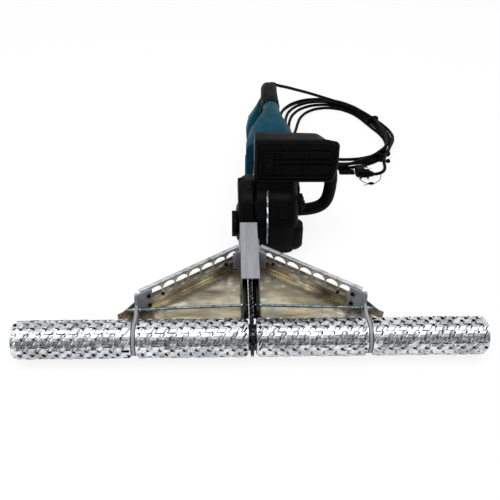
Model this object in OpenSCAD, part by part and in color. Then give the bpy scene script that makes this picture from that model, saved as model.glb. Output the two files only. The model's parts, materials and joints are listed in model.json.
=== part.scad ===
// Power screed: a chain-driven rasp drum on a forked boom, carried by an electric chainsaw body.
// X runs along the drum, +Y points back to the rear handle and +Z up. The drum and the saw's
// base stand on Z = 0. Pieces are drawn about the drum's axis and moved back by y_mid at the end.

/* [Drum] */
// Length over the outer drum ends
drum_len = 804; // [640:2:1000]
// Diameter over the rasp teeth
drum_tip_d = 68; // [64:1:80]
// Height of the rasp teeth above their sheet
tooth_h = 4; // [2:0.5:5]
// Thickness of the rasp sheet
rasp_sheet = 1.5; // [1:0.1:2]
// Wall of the drum tubes
tube_wall = 2.5; // [2:0.1:4]
// Diameter of the drum axle
axle_d = 12; // [10:1:16]
// Rows of teeth round the drum
teeth_around = 18; // [12:1:24]
// Distance between teeth in one row
tooth_pitch = 20.5; // [16:0.5:26]
// Distance between the two hanger plates
hanger_span = 400; // [340:2:520]
// Width of the gaps that the chain and the hangers run in
drum_gap = 14; // [13:0.5:18]

/* [Chain] */
// Distance from the drum axle to the saw's spindle
centre_distance = 357; // [320:1:420]
// Distance between drive links
chain_pitch = 19.05; // [16:0.05:20]
// Pockets of the chain wheel on the drum axle
wheel_teeth = 9; // [8:1:9]
// Pockets of the saw's sprocket
sprocket_teeth = 6; // [5:1:7]

/* [Carriage] */
// Outer width of the two boom plates
boom_w = 28; // [26:1:34]
// Thickness of a boom plate
boom_plate = 5; // [3:0.5:6]
// Height of a boom plate
boom_h = 40; // [36:1:48]
// Diameter of the round holes in the arms
arm_hole_d = 24.5; // [18:0.5:26]
// Distance between those holes
arm_hole_pitch = 26.5; // [26:0.5:34]
// Height of an arm's web
arm_web = 34; // [33:1:44]
// Thickness of the arms' sheet
arm_sheet = 3; // [2:0.5:4]
// Thickness of the apron sheet
apron_sheet = 1.5; // [1:0.1:2]
// Height of the apron's upstand over its panel
upstand_h = 26; // [22:1:34]
// Thickness of a hanger plate
hanger_plate = 5; // [4:0.5:6]
// Diameter of the tie rods
rod_d = 5; // [4:0.5:6]

/* [Saw] */
// Height of the spindle over the saw's base
spindle_z = 75; // [70:1:84]
// Length of the saw body
saw_len = 510; // [500:1:540]
// Outer diameter of the front handle
front_handle_d = 27; // [25:1:30]
// Diameter of the mains cord
cord_d = 7.5; // [6:0.5:9]

/* [Hidden] */
$fn = 48;
run = 0.05;        // running clearance on a radius
slack = 0.3;       // clearance between pieces that move past each other
clear = 0.5;       // clearance between a screw and its hole, on the radius

// ---------- derived sizes ----------
tip_r = drum_tip_d / 2;
rasp_r = tip_r - tooth_h;
tube_r = rasp_r - rasp_sheet;
tube_in_r = tube_r - tube_wall;
axle_r = axle_d / 2;
hanger_x = hanger_span / 2;
hanger_gap = hanger_plate + 3;
inner_from = drum_gap / 2;
inner_to = hanger_x - hanger_gap / 2;
outer_from = hanger_x + hanger_gap / 2;
outer_to = drum_len / 2;
hub_t = 8;
hub_set_in = 6;

tilt = asin((spindle_z - tip_r) / centre_distance);
spindle_y = centre_distance * cos(tilt);
y_rear = spindle_y - 93 + saw_len;
y_mid = (y_rear - tip_r) / 2;

// Chain links: heights are measured from the rivet line.
link_low = 4;
tang_low = 9;
strap_high = 6;
strap_t = 1.5;
tang_t = 1.3;
rivet_r = 2.1;
strap_in = tang_t / 2 + 0.1;
strap_out = strap_in + strap_t;
wheel_pr = wheel_teeth * chain_pitch / (2 * PI);
sprocket_pr = sprocket_teeth * chain_pitch / (2 * PI);

// Stations along the boom, from the drum axle
boom_front = tip_r + 6;
boom_back = centre_distance - 32;
bolt_y = [183, 206];
bolt_r = 3;
stud_y = [centre_distance - 68, centre_distance - 44];
stud_r = 4;
rod_in = [boom_w / 2, 64, 10];
rod_out = [hanger_x, 53, 13];
boom_z = boom_h / 2;

// Carriage
cover_wall = 2;
cover_in = boom_w / 2 + 0.5;
cover_out = cover_in + cover_wall;
cover_y = [103, 250];
cover_top = 38;
cover_low = -8;
arm_root = [cover_out + 3, 176];
arm_end = [hanger_x - 8, 66.8];
arm_dir = (arm_end - arm_root) / norm(arm_end - arm_root);
arm_angle = atan2(arm_dir[1], arm_dir[0]);
arm_len = norm(arm_end - arm_root);
arm_top = 45.2;
arm_lip = 6.7;
lip_h = 5;
last_hole_in = 29.2;
arm_holes = floor((arm_len - 8) / arm_hole_pitch);
panel_z = -8.6;
apron_end_x = hanger_x + 33;
apron_front = tip_r + 3;

// ---------- shapes ----------
function unit(v) = v / norm(v);
function turn(a) = a > 180 ? a - 360 : a < -180 ? a + 360 : a;
function polar(r, a) = [r * cos(a), r * sin(a)];

// One rounded corner q between p and s, as points on its arc
function corner(p, q, s, r, n) =
    r <= 0 ? [q] :
    let (u = unit(p - q), w = unit(s - q), half = acos(max(-1, min(1, u * w))) / 2,
         c = q + unit(u + w) * r / sin(half), a = q + u * r / tan(half), b = q + w * r / tan(half),
         a0 = atan2(a[1] - c[1], a[0] - c[0]),
         da = turn(atan2(b[1] - c[1], b[0] - c[0]) - a0))
    [for (i = [0:n]) c + polar(r, a0 + da * i / n)];

// A closed outline from corners [x, y, radius]
function rounded(pts, n = 4) = let (m = len(pts)) [
    for (i = [0:m - 1])
        let (p = pts[(i + m - 1) % m], q = pts[i], s = pts[(i + 1) % m])
        each corner([p[0], p[1]], [q[0], q[1]], [s[0], s[1]], q[2], n)
];

// The corners of a counter-clockwise outline moved inwards by d
function inset(c, d) = let (m = len(c), p = [for (q = c) [q[0], q[1]]]) [
    for (i = [0:m - 1])
        let (e = unit(p[i] - p[(i + m - 1) % m]), f = unit(p[(i + 1) % m] - p[i]),
             a = [-e[1], e[0]], b = [-f[1], f[0]], t = p[i] + d * (a + b) / (1 + a * b))
        [t[0], t[1], max(0.8, c[i][2] - d)]
];

function round_rect(cx, cy, w, h, r, n = 5) =
    rounded([[cx + w / 2, cy - h / 2, r], [cx + w / 2, cy + h / 2, r],
             [cx - w / 2, cy + h / 2, r], [cx - w / 2, cy - h / 2, r]], n);

function mean(ring) = [for (k = [0:2]) [for (p = ring) p[k]] * [for (p = ring) 1] / len(ring)];

// A closed skin over rings of equally many points, which run counter-clockwise seen from the last ring
module loft(rings) {
    m = len(rings[0]);
    k = len(rings);
    polyhedron(
        points = concat([for (ring = rings) each ring], [mean(rings[0]), mean(rings[k - 1])]),
        faces = concat(
            [for (j = [0:k - 2], i = [0:m - 1])
                let (a = j * m + i, b = j * m + (i + 1) % m) each [[a, a + m, b + m], [a, b + m, b]]],
            [for (i = [0:m - 1]) [k * m, i, (i + 1) % m]],
            [for (i = [0:m - 1]) [k * m + 1, (k - 1) * m + (i + 1) % m, (k - 1) * m + i]]));
}

// Rings of a side profile, given by its corners [y, z, radius], at a list of [x, inset]
function side_rings(corners, steps) =
    [for (s = steps) [for (p = rounded(inset(corners, s[1]))) [s[0], p[0], p[1]]]];

// A round tube of radius r, or of one radius for each point, swept along points
module sweep(pts, r, ref, sides = 12) {
    m = len(pts);
    loft([for (i = [0:m - 1])
        let (t = unit(pts[min(i + 1, m - 1)] - pts[max(i - 1, 0)]),
             u = unit(cross(ref, t)), w = cross(t, u), size = is_list(r) ? r[i] : r)
        [for (k = [0:sides - 1]) pts[i] + size * (u * cos(360 * k / sides) + w * sin(360 * k / sides))]]);
}

// A smooth line through points, with n steps from each to the next
function spline(p, n) = let (m = len(p)) concat(
    [for (i = [0:m - 2], k = [0:n - 1])
        let (a = p[max(i - 1, 0)], b = p[i], c = p[i + 1], d = p[min(i + 2, m - 1)], t = k / n)
        0.5 * (2 * b + (c - a) * t + (2 * a - 5 * b + 4 * c - d) * t * t + (3 * b - a - 3 * c + d) * t * t * t)],
    [p[m - 1]]);

module along_x(x0, x1) translate([x0, 0, 0]) rotate([90, 0, 90]) linear_extrude(x1 - x0) children();
module rod_x(r, x0, x1) translate([x0, 0, 0]) rotate([0, 90, 0]) cylinder(r = r, h = x1 - x0);
module ring_x(r, bore, x0, x1) difference() {
    rod_x(r, x0, x1);
    rod_x(bore, x0 - 1, x1 + 1);
}
module hex_x(across, x0, x1) translate([x0, 0, 0]) rotate([0, 90, 0])
    cylinder(d = across / cos(30), h = x1 - x0, $fn = 6);
module both_sides() {
    children();
    mirror([1, 0, 0]) children();
}
module one_side(s) mirror([s < 0 ? 1 : 0, 0, 0]) children();

// The boom's own frame: its Y runs from the drum axle to the spindle
module in_boom() translate([0, 0, tip_r]) rotate([tilt, 0, 0]) children();
// The saw's frame: Y is measured from the spindle, Z from the base
module in_saw() translate([0, spindle_y, 0]) children();
module at_drum() translate([0, 0, tip_r]) children();

// ---------- drum ----------
module axle() color("silver") at_drum() difference() {
    rod_x(axle_r, -outer_to + hub_set_in - 1, outer_to - hub_set_in + 1);
    both_sides() rod_x(2.5, outer_to - hub_set_in - 20, outer_to);
}

module drum_tube(from, to) color("silver") at_drum() ring_x(tube_r, tube_in_r, from, to);

// One hub plate with a collar and a grub screw flat
module hub(from, collar_to) difference() {
    union() {
        rod_x(tube_in_r - run, from, from + hub_t);
        rod_x(axle_r + 5, min(from, collar_to), max(from, collar_to));
    }
    rod_x(axle_r + run, min(from, collar_to) - 1, max(from + hub_t, collar_to) + 1);
    for (a = [0:60:300]) rotate([a, 0, 0]) translate([0, 0, (axle_r + tube_in_r) / 2 + 2])
        rod_x(3, from - 1, from + hub_t + 1);
}
module drum_hubs() color("dimgray") at_drum() both_sides() {
    hub(inner_from, inner_from + 14);
    hub(inner_to - hub_t, inner_to - 14);
    hub(outer_from, outer_from + 14);
    hub(outer_to - hub_set_in - hub_t, outer_to - hub_set_in - 14);
}

// Washer and hexagon head that close the axle at each end
module end_screws() color("gray") at_drum() both_sides() {
    rod_x(9, outer_to - hub_set_in + 1, outer_to - hub_set_in + 2.5);
    hex_x(8, outer_to - hub_set_in + 2.5, outer_to - hub_set_in + 5.5);
    rod_x(2.5 - run, outer_to - hub_set_in - 18, outer_to - hub_set_in + 1.5);
}

// Outline of one band of raised teeth: a ramp up to the tip, a short drop and a flat
function tooth_band(phase) = [
    for (i = [0:teeth_around - 1])
        let (p = 360 / teeth_around, a = phase + i * p)
        each [polar(rasp_r - 0.2, a), polar(tip_r - 0.6, a + 0.48 * p), polar(tip_r, a + 0.6 * p),
              polar(rasp_r - 0.2, a + 0.72 * p)]
];
// Staggered bands of teeth on a rolled sheet
module rasp(from, to) {
    half = tooth_pitch / 2;
    bands = floor((to - from) / half);
    step = (to - from) / bands;
    color("gainsboro") at_drum() difference() {
        union() {
            rod_x(rasp_r, from, to);
            for (k = [0:bands - 1])
                along_x(from + k * step + 0.4, from + (k + 1) * step - 0.4)
                    polygon(tooth_band(k % 2 * 180 / teeth_around));
        }
        rod_x(tube_r + run, from - 1, to + 1);
    }
}

// ---------- chain ----------
// The chain's rivet line: back along the bottom, round the spindle, forward along the top, round the drum
wrap = asin((wheel_pr - sprocket_pr) / centre_distance);
straight = centre_distance * cos(wrap);
back_arc = sprocket_pr * (180 - 2 * wrap) * PI / 180;
front_arc = wheel_pr * (180 + 2 * wrap) * PI / 180;
chain_len = 2 * straight + back_arc + front_arc;
chain_links = round(chain_len / chain_pitch);
link_step = chain_len / chain_links;
function chain_at(s0) =
    let (s = s0 < 0 ? s0 + chain_len : s0 >= chain_len ? s0 - chain_len : s0,
         low = polar(1, -90 + wrap), high = polar(1, 90 - wrap), along = [cos(wrap), sin(wrap)])
    s < straight ? wheel_pr * low + s * along
    : s < straight + back_arc
        ? [centre_distance, 0] + polar(sprocket_pr, -90 + wrap + (s - straight) / sprocket_pr * 180 / PI)
    : s < 2 * straight + back_arc
        ? [centre_distance, 0] + sprocket_pr * high + (s - straight - back_arc) * [-cos(wrap), sin(wrap)]
    : polar(wheel_pr, 90 - wrap + (s - 2 * straight - back_arc) / wheel_pr * 180 / PI);

// Puts a link whose outer side is -Y of its own outline on the chord between two rivets
module on_chain(s) {
    a = chain_at(s - link_step / 4);
    b = chain_at(s + link_step / 4);
    c = (a + b) / 2;
    along_x_at(c, atan2(b[1] - a[1], b[0] - a[0])) children();
}
module along_x_at(c, angle) translate([0, c[0], c[1]]) rotate([angle, 0, 0]) children();

module drive_link() along_x(-tang_t / 2, tang_t / 2) difference() {
    union() {
        for (s = [-1, 1]) translate([s * link_step / 4, 0]) circle(3.6);
        translate([-link_step / 4, -3.6]) square([link_step / 2, 5.6]);
        polygon([[-5.4, 0], [5.4, 0], [4.6, 5.6], [1.6, tang_low], [-1.2, tang_low], [-4.6, 5.2]]);
    }
    for (s = [-1, 1]) translate([s * link_step / 4, 0]) circle(rivet_r + 0.16);
}
module strap_link() {
    for (s = [-1, 1]) rod_pair(s * link_step / 4);
    both_sides() along_x(strap_in, strap_out) union() {
        for (s = [-1, 1]) translate([s * link_step / 4, 0]) circle(link_low);
        translate([-link_step / 4, -link_low]) square([link_step / 2, 2 * link_low]);
        polygon([[-5.4, -2], [-3.2, -strap_high], [3.6, -strap_high], [5.4, -2]]);
    }
}
module rod_pair(y) translate([0, y, 0]) rod_x(rivet_r, -strap_out - 0.5, strap_out + 0.5);

module drive_chain() color([0.12, 0.12, 0.13]) in_boom() for (i = [0:chain_links - 1]) {
    on_chain(i * link_step) drive_link();
    on_chain((i + 0.5) * link_step) strap_link();
}

// A wheel with two rims that carry the straps and a toothed web between them for the tangs
module grooved_wheel(pitch_r, teeth, bore, half_w, sag) difference() {
    union() {
        both_sides() rod_x(pitch_r - link_low - sag - slack, 1, half_w);
        along_x(-1.2, 1.2) difference() {
            circle(pitch_r - tang_low - sag - slack);
            for (i = [0:teeth - 1]) rotate(i * 360 / teeth) translate([pitch_r - tang_low, 0]) circle(1.6);
        }
    }
    rod_x(bore, -half_w - 1, half_w + 1);
}
wheel_sag = link_step * link_step / 32 / wheel_pr;
sprocket_sag = link_step * link_step / 32 / sprocket_pr;
module chain_wheel() color("dimgray") at_drum()
    grooved_wheel(wheel_pr, wheel_teeth, axle_r + run, inner_from - slack, wheel_sag);
module drive_sprocket() color("dimgray") in_saw() translate([0, 0, spindle_z])
    grooved_wheel(sprocket_pr, sprocket_teeth, spindle_r + run, 5.5, sprocket_sag);

// ---------- boom ----------
// Half height of a chain run's rivet line at a station y
function run_z(y) = (wheel_pr + (sprocket_pr - wheel_pr) * y / centre_distance) / cos(wrap);
module bar_layer(x0, x1, below) along_x(x0, x1) difference() {
    polygon([[boom_front, -run_z(boom_front) + below], [boom_back, -run_z(boom_back) + below],
             [boom_back, run_z(boom_back) - below], [boom_front, run_z(boom_front) - below]]);
    for (y = bolt_y) translate([y, 0]) circle(bolt_r + clear);
    for (y = stud_y) translate([y, 0]) circle(stud_r + clear);
    translate([(boom_front + bolt_y[0]) / 2 - 30, 0]) bar_window();
}
// Long lightening slot that the tie rods also pass
module bar_window() union() {
    for (y = [0, 60]) translate([y, 0]) circle(7);
    translate([0, -7]) square([60, 14]);
}
module guide_bar() color([0.2, 0.2, 0.21]) in_boom() union() {
    bar_layer(-0.9, 0.9, tang_low + slack);
    both_sides() bar_layer(0.9, 2.4, link_low + slack);
}

module boom_plate_at(s) color([0.08, 0.08, 0.09]) in_boom() one_side(s)
    along_x(boom_w / 2 - boom_plate, boom_w / 2) difference() {
        polygon(rounded([[boom_front, -boom_z, 4], [boom_back, -boom_z + 6, 8],
                         [boom_back, boom_z - 6, 8], [boom_front, boom_z, 14]]));
        for (y = bolt_y) translate([y, 0]) circle(bolt_r + clear);
        for (y = stud_y) translate([y, 0]) circle(stud_r + clear);
        translate([rod_in[1], rod_in[2]]) circle(rod_d / 2 + clear);
    }

// Tubes on the bolts and studs that keep the plates and the bar apart
module boom_spacers() color("gray") in_boom() both_sides() {
    for (y = bolt_y) translate([0, y, 0]) ring_x(6, bolt_r + clear, 2.4, boom_w / 2 - boom_plate);
    for (y = stud_y) translate([0, y, 0]) ring_x(7, stud_r + clear, 2.4, boom_w / 2 - boom_plate);
}

// Channel over the chain's upper run
module chain_cover() color([0.6, 0.61, 0.63]) in_boom() difference() {
    translate([-cover_out, cover_y[0], cover_low])
        cube([2 * cover_out, cover_y[1] - cover_y[0], cover_top - cover_low]);
    translate([-cover_in, cover_y[0] - 1, cover_low - 1])
        cube([2 * cover_in, cover_y[1] - cover_y[0] + 2, cover_top - cover_low + 1 - cover_wall]);
    for (y = bolt_y) translate([0, y, 0]) rod_x(bolt_r + clear, -cover_out - 1, cover_out + 1);
}

module boom_bolts() color("gray") in_boom() for (y = bolt_y) translate([0, y, 0]) {
    rod_x(bolt_r, -cover_out - 10, cover_out + 7);
    hex_x(10, cover_out + 3, cover_out + 7);
    difference() {
        hex_x(10, -cover_out - 8, -cover_out - 3);
        rod_x(bolt_r - 0.01, -cover_out - 9, -cover_out - 2);
    }
}

// ---------- arms ----------
// A frame whose X runs out along the arm's web
module on_arm() translate([arm_root[0], arm_root[1], 0]) rotate([0, 0, arm_angle]) children();
arm_hole_z = arm_top - 5.4 - arm_hole_d / 2;
arm_hole_x = arm_len - last_hole_in - (arm_holes - 1) * arm_hole_pitch;
arm_screw_x = [arm_hole_x + arm_hole_pitch / 2, arm_hole_x + (arm_holes - 1.5) * arm_hole_pitch];
arm_screw_z = arm_top - arm_web + 4.5;
end_screw_x = arm_len - 13.3;
end_screw_z = [arm_top - 15.7, arm_top - 39.5];
arm_screw_r = 2.5;

module across_arm(r, x, z) translate([x, 0, z]) rotate([90, 0, 0]) cylinder(r = r, h = 60, center = true);

module arm_at(s) color([0.72, 0.72, 0.72]) in_boom() one_side(s) on_arm() difference() {
    union() {
        translate([0, 0, arm_top - arm_web]) cube([arm_len, arm_sheet, arm_web]);
        translate([0, 0, arm_top - 2.5]) cube([arm_len, arm_lip, 2.5]);
        translate([0, arm_lip - 2, arm_top - lip_h]) cube([arm_len, 2, lip_h]);
    }
    for (i = [0:arm_holes - 1])
        across_arm(arm_hole_d / 2, arm_hole_x + i * arm_hole_pitch, arm_hole_z);
    for (x = arm_screw_x) across_arm(arm_screw_r + clear, x, arm_screw_z);
    across_arm(arm_screw_r + clear, end_screw_x, end_screw_z[0]);
}

// Angle piece between the boom and an arm
module arm_root_at(s) color([0.62, 0.63, 0.64]) in_boom() one_side(s) difference() {
    union() {
        along_x(cover_out, cover_out + 3)
            polygon([[arm_root[1] - 4, -6], [bolt_y[1] + 12, -6], [bolt_y[1] + 12, 24], [arm_root[1] + 14, 24],
                     [arm_root[1] + 14, 36], [arm_root[1] - 4, 36]]);
        on_arm() translate([-1, -3.2, -5.8]) cube([15, 3, 41.6]);
    }
    for (y = bolt_y) translate([0, y, 0]) rod_x(bolt_r + clear, 0, 60);
}

// ---------- hangers ----------
bearing_r = 10.5;
hanger_tab = 20.5;
// Plate across the axle: a disc round the bearing and a neck back to the arm's end
module hanger_outline() difference() {
    union() {
        circle(rasp_r - 1);
        polygon(rounded([[4, -16, 2], [33, -7.4, 6], [arm_end[1] + 10, panel_z + 2, 3],
                         [arm_end[1] + 12, 22, 6], [arm_end[1] + 3, arm_top - 7, 6],
                         [arm_end[1] - 8, arm_top - 4, 5], [arm_end[1] - 11, 21, 3], [34, 19, 10],
                         [4, 24, 2]]));
    }
    circle(bearing_r + run);
    translate([rod_out[1], rod_out[2]]) circle(rod_d / 2 + clear);
}
module hanger_at(s) color([0.66, 0.66, 0.67]) in_boom() one_side(s) {
    difference() {
        union() {
            along_x(hanger_x - hanger_plate / 2, hanger_x + hanger_plate / 2) hanger_outline();
            on_arm() translate([arm_len - hanger_tab, -3.2, 2])
                cube([hanger_tab + 12, 3, arm_top - 4.2]);
        }
        on_arm() for (z = end_screw_z) across_arm(arm_screw_r + clear, end_screw_x, z);
        translate([hanger_x + hanger_plate / 2, 0, -60]) cube([60, 120, 140]);
    }
}
module axle_bearings() color("gray") at_drum() both_sides() difference() {
    ring_x(bearing_r, axle_r + run, hanger_x - hanger_plate / 2, hanger_x + hanger_plate / 2);
    for (x = [-1, 1]) translate([x * hanger_plate / 2, 0, 0])
        ring_x(bearing_r - 2, axle_r + 1.4, hanger_x - 0.7, hanger_x + 0.7);
}

// ---------- apron ----------
module apron_at(s) color([0.78, 0.74, 0.66]) in_boom() one_side(s) {
    wall_y = arm_sheet + 0.1;
    difference() {
        union() {
            translate([0, 0, panel_z - apron_sheet]) linear_extrude(apron_sheet) intersection() {
                polygon([[cover_out, apron_front], [apron_end_x, apron_front],
                         [apron_end_x, arm_root[1]], [cover_out, arm_root[1]]]);
                translate([arm_root[0], arm_root[1]]) rotate(arm_angle)
                    translate([-60, wall_y - 300]) square([arm_len + 200, 300 + apron_sheet]);
            }
            intersection() {
                on_arm() translate([14, wall_y, panel_z - apron_sheet])
                    cube([arm_len + 46, apron_sheet, upstand_h + apron_sheet]);
                translate([0, 0, -60]) cube([apron_end_x, 400, 120]);
            }
        }
        on_arm() for (x = arm_screw_x) across_arm(arm_screw_r + clear, x, arm_screw_z);
        on_arm() across_arm(arm_screw_r + clear, end_screw_x, end_screw_z[1]);
        translate([hanger_x - 6, 30, panel_z + 0.1]) cube([14, 80, 80]);
    }
}

module socket_screw(shank) {
    rotate([90, 0, 0]) difference() {
        cylinder(r = 4.2, h = 4.5);
        translate([0, 0, 2]) cylinder(d = 4.6, h = 4, $fn = 6);
    }
    rotate([-90, 0, 0]) translate([0, 0, -0.5]) cylinder(r = arm_screw_r, h = shank);
}
module arm_screws() color([0.05, 0.05, 0.05]) in_boom() both_sides() on_arm() {
    for (x = arm_screw_x) translate([x, 0, arm_screw_z]) socket_screw(12);
    for (z = end_screw_z) translate([end_screw_x, -3.2, z]) socket_screw(12);
}

// ---------- tie rods ----------
rod_dir = unit(rod_out - rod_in);
module on_rod() translate(rod_in)
    rotate([0, -asin(rod_dir[2]), atan2(rod_dir[1], rod_dir[0])]) children();
rod_span = norm(rod_out - rod_in);
module rod_nut(x0) difference() {
    hex_x(8, x0, x0 + 4);
    rod_x(rod_d / 2 + 0.02, x0 - 1, x0 + 5);
}
module tie_rods() color([0.7, 0.78, 0.8]) in_boom() both_sides() on_rod() {
    rod_x(rod_d / 2, -boom_plate - 3, rod_span + 17);
    rod_nut(0.5);
    rod_nut(rod_span - hanger_plate / 2 - 4.7);
    rod_nut(rod_span + hanger_plate / 2 + 0.7);
}

// ---------- saw body ----------
// Places in the saw are [y, z] behind the spindle and over the base
housing_x = [boom_w / 2 + 0.5, 58];
motor_x = [58.3, 101];
motor_axis = [40, spindle_z + 13];
gear_ratio = 5;
gear_r = norm(motor_axis - [0, spindle_z]) * gear_ratio / (gear_ratio + 1);
pinion_r = gear_r / gear_ratio;
spindle_r = 6;
shaft_r = 4;
seat_r = 3.5;
spindle_bearing_r = 13;
shaft_bearing_r = 9.5;
stator_r = 42;
front_corners = [[-90, 6, 6], [95, 6, 4], [95, 150, 4], [2, 150, 22], [-64, 128, 30], [-93, 78, 30],
                 [-93, 30, 16]];
bulge_corners = [[-91, 20, 14], [-80, 6, 12], [-10, 6, 10], [0, 18, 10], [-30, 40, 14], [-60, 80, 18],
                 [-91, 70, 16]];
pad_corners = [[-24, 94, 6], [40, 94, 6], [40, 121, 6], [-24, 121, 6]];
guard_pivot = [10, 132];
guard_arm_x = [13.4, motor_x[1] + 0.6];
guard_arm_t = 3.6;
guard_pin_r = 4;
roof_z = 118;
bumper_x = [36.5, 39.5];
bumper_back = [[-79, 38], [-79, 82], [-52, 130]];
oil_cap_at = [-40, 104];
oil_neck_r = 8;

module at_yz(p) translate([0, p[0], p[1]]) children();

module gear_housing() color([0.07, 0.07, 0.08]) in_saw() difference() {
    loft(side_rings(front_corners, [[housing_x[0], 4], [housing_x[0] + 2, 1], [housing_x[0] + 5, 0],
                                    [housing_x[1], 0]]));
    translate([0, -100, roof_z]) cube([guard_arm_x[0] + guard_arm_t + 1, 196, 60]);
    at_yz([0, spindle_z]) {
        rod_x(spindle_r + 4, 0, 20);
        rod_x(spindle_bearing_r + run, 18, 31);
        rod_x(gear_r + 3.5, 30, 50);
        rod_x(spindle_bearing_r + run, 49, 56);
    }
    at_yz(motor_axis) {
        rod_x(shaft_bearing_r + run, 22, 31);
        rod_x(pinion_r + 5, 30, 50);
        rod_x(stator_r + run, 49, 60);
    }
    at_yz(guard_pivot) rod_x(guard_pin_r + run, 0, 34);
    along_x(bumper_x[0] - 0.1, bumper_x[1] + 0.1)
        polygon(concat(bumper_back, [[-52, 170], [-140, 170], [-140, 38]]));
    stud_places() rod_x(stud_r + run, 0, 31);
}
module stud_places() for (d = stud_y)
    at_yz([d * cos(tilt) - spindle_y, tip_r + d * sin(tilt)]) children();
module bar_studs() color("silver") in_saw() {
    stud_places() rod_x(stud_r, -12, 30);
    at_yz(knob_at) rod_x(stud_r, knob_x[1] - 3, 0);
}

module motor_housing() color([0.06, 0.06, 0.07]) in_saw() difference() {
    union() {
        difference() {
            union() {
                loft(side_rings(front_corners, [[motor_x[0], 0], [80, 0], [89, 2.5], [95, 7.5], [99, 13],
                                                [motor_x[1], 19]]));
                loft(side_rings(bulge_corners, [[motor_x[0] + 22, 1], [98, 1.5], [104, 4], [108.5, 7],
                                                [111, 9.6]]));
                loft(side_rings(pad_corners, [[90, 0], [motor_x[1] + 4.5, 0], [motor_x[1] + 5.5, 1]]));
            }
            at_yz(motor_axis) rod_x(stator_r + run, 50, 95);
        }
        at_yz(motor_axis) rod_x(shaft_bearing_r + 4, 89, 98);
        at_yz(guard_pivot) rod_x(9, 84, motor_x[1]);
    }
    at_yz(motor_axis) rod_x(shaft_bearing_r + run, 88, 96);
    at_yz(guard_pivot) rod_x(guard_pin_r + run, 60, 120);
    at_yz(oil_cap_at) rod_x(oil_neck_r + run, 88, 120);
    for (i = [0:6]) translate([98, 42, 52 + i * 9]) cube([10, 26, 3.4]);
}

module base_cover() color([0.05, 0.05, 0.06]) in_saw()
    linear_extrude(5.8) polygon(rounded([[18, -60, 12], [96, -60, 12], [96, 92, 6], [18, 92, 6]]));

// Bars that join an arm of the guard to its face, and the eye that the arm turns on
guard_x = [11.5, 175];
guard_y = [-48, -14];
guard_z = [150, 245];
guard_wall = 3;
guard_bar_x = [53.5, 63, 108, 118.5];
guard_bar_z = [186.8, 197.7];
module guard_shell() intersection() {
    difference() {
        translate([0, guard_y[1], 0]) rotate([90, 0, 0]) linear_extrude(guard_y[1] - guard_y[0])
            polygon(guard_outline(0));
        translate([0, guard_y[1] + 1, 0]) rotate([90, 0, 0])
            linear_extrude(guard_y[1] - guard_y[0] + 1 - guard_wall) polygon(guard_outline(guard_wall));
    }
    along_x(0, 200) polygon([[guard_y[0] - 5, guard_z[0] - 1], [guard_y[0] + 10, guard_z[0] - 1],
                             [guard_y[1], guard_z[1] - 22], [guard_y[1], 300], [guard_y[0] - 5, 300]]);
}
function guard_outline(d) = rounded(inset([[guard_x[0], guard_z[0], 8], [guard_x[1] - 7, guard_z[0], 14],
    [guard_x[1], guard_z[1] - 36, 10], [guard_x[1] - 8, guard_z[1] - 28, 10],
    [guard_x[1] - 43, guard_z[1] - 4, 20], [guard_x[0], guard_z[1], 6]], d));
// Raised frame and bars on the guard's face
module guard_ribs() translate([0, guard_y[0] + 0.5, 0]) rotate([90, 0, 0]) linear_extrude(3.5) {
    difference() {
        polygon(guard_outline(5));
        polygon(guard_outline(8));
    }
    intersection() {
        polygon(guard_outline(6));
        union() {
            for (x = guard_bar_x) translate([x, guard_z[0]]) square([3, guard_z[1] - guard_z[0]]);
            for (z = guard_bar_z) translate([guard_bar_x[0], z]) square([120, 3]);
            translate([guard_x[0] + 8, guard_z[0] + 26]) square([34, 3]);
        }
    }
}
module guard_arm(x) along_x(x, x + guard_arm_t) difference() {
    union() {
        polygon([[guard_y[0] + 1, 166], [guard_y[0] + 1, 196], [guard_y[0] + 8, 196], [-30, 181],
                 [guard_pivot[0] + 6, guard_pivot[1] + 6], [guard_pivot[0] - 4, guard_pivot[1] - 7]]);
        translate(guard_pivot) circle(9);
    }
    translate(guard_pivot) circle(guard_pin_r + run);
}
module hand_guard() color([0.04, 0.04, 0.045]) in_saw() {
    guard_shell();
    guard_ribs();
    guard_arm(guard_arm_x[0]);
    guard_arm(guard_arm_x[1]);
}
module guard_pivots() color("silver") in_saw() at_yz(guard_pivot) {
    rod_x(guard_pin_r, guard_arm_x[0] - 0.4, 32);
    rod_x(guard_pin_r, 86, guard_arm_x[1] + guard_arm_t + 0.4);
    rod_x(guard_pin_r + 3, guard_arm_x[1] + guard_arm_t + 0.4, guard_arm_x[1] + guard_arm_t + 2.4);
}

module spike_bumper() color("silver") in_saw() along_x(bumper_x[0], bumper_x[1])
    polygon([[-79.2, 38.3], [-99, 38.3], [-107, 46], [-98, 55], [-105, 66], [-97, 76], [-101, 88],
             [-89, 95], [-91, 107], [-78, 113], [-78, 125], [-66, 129], [-64, 139], [-56, 138],
             [-53, 130.4], [-79.2, 82.2]]);

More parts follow.
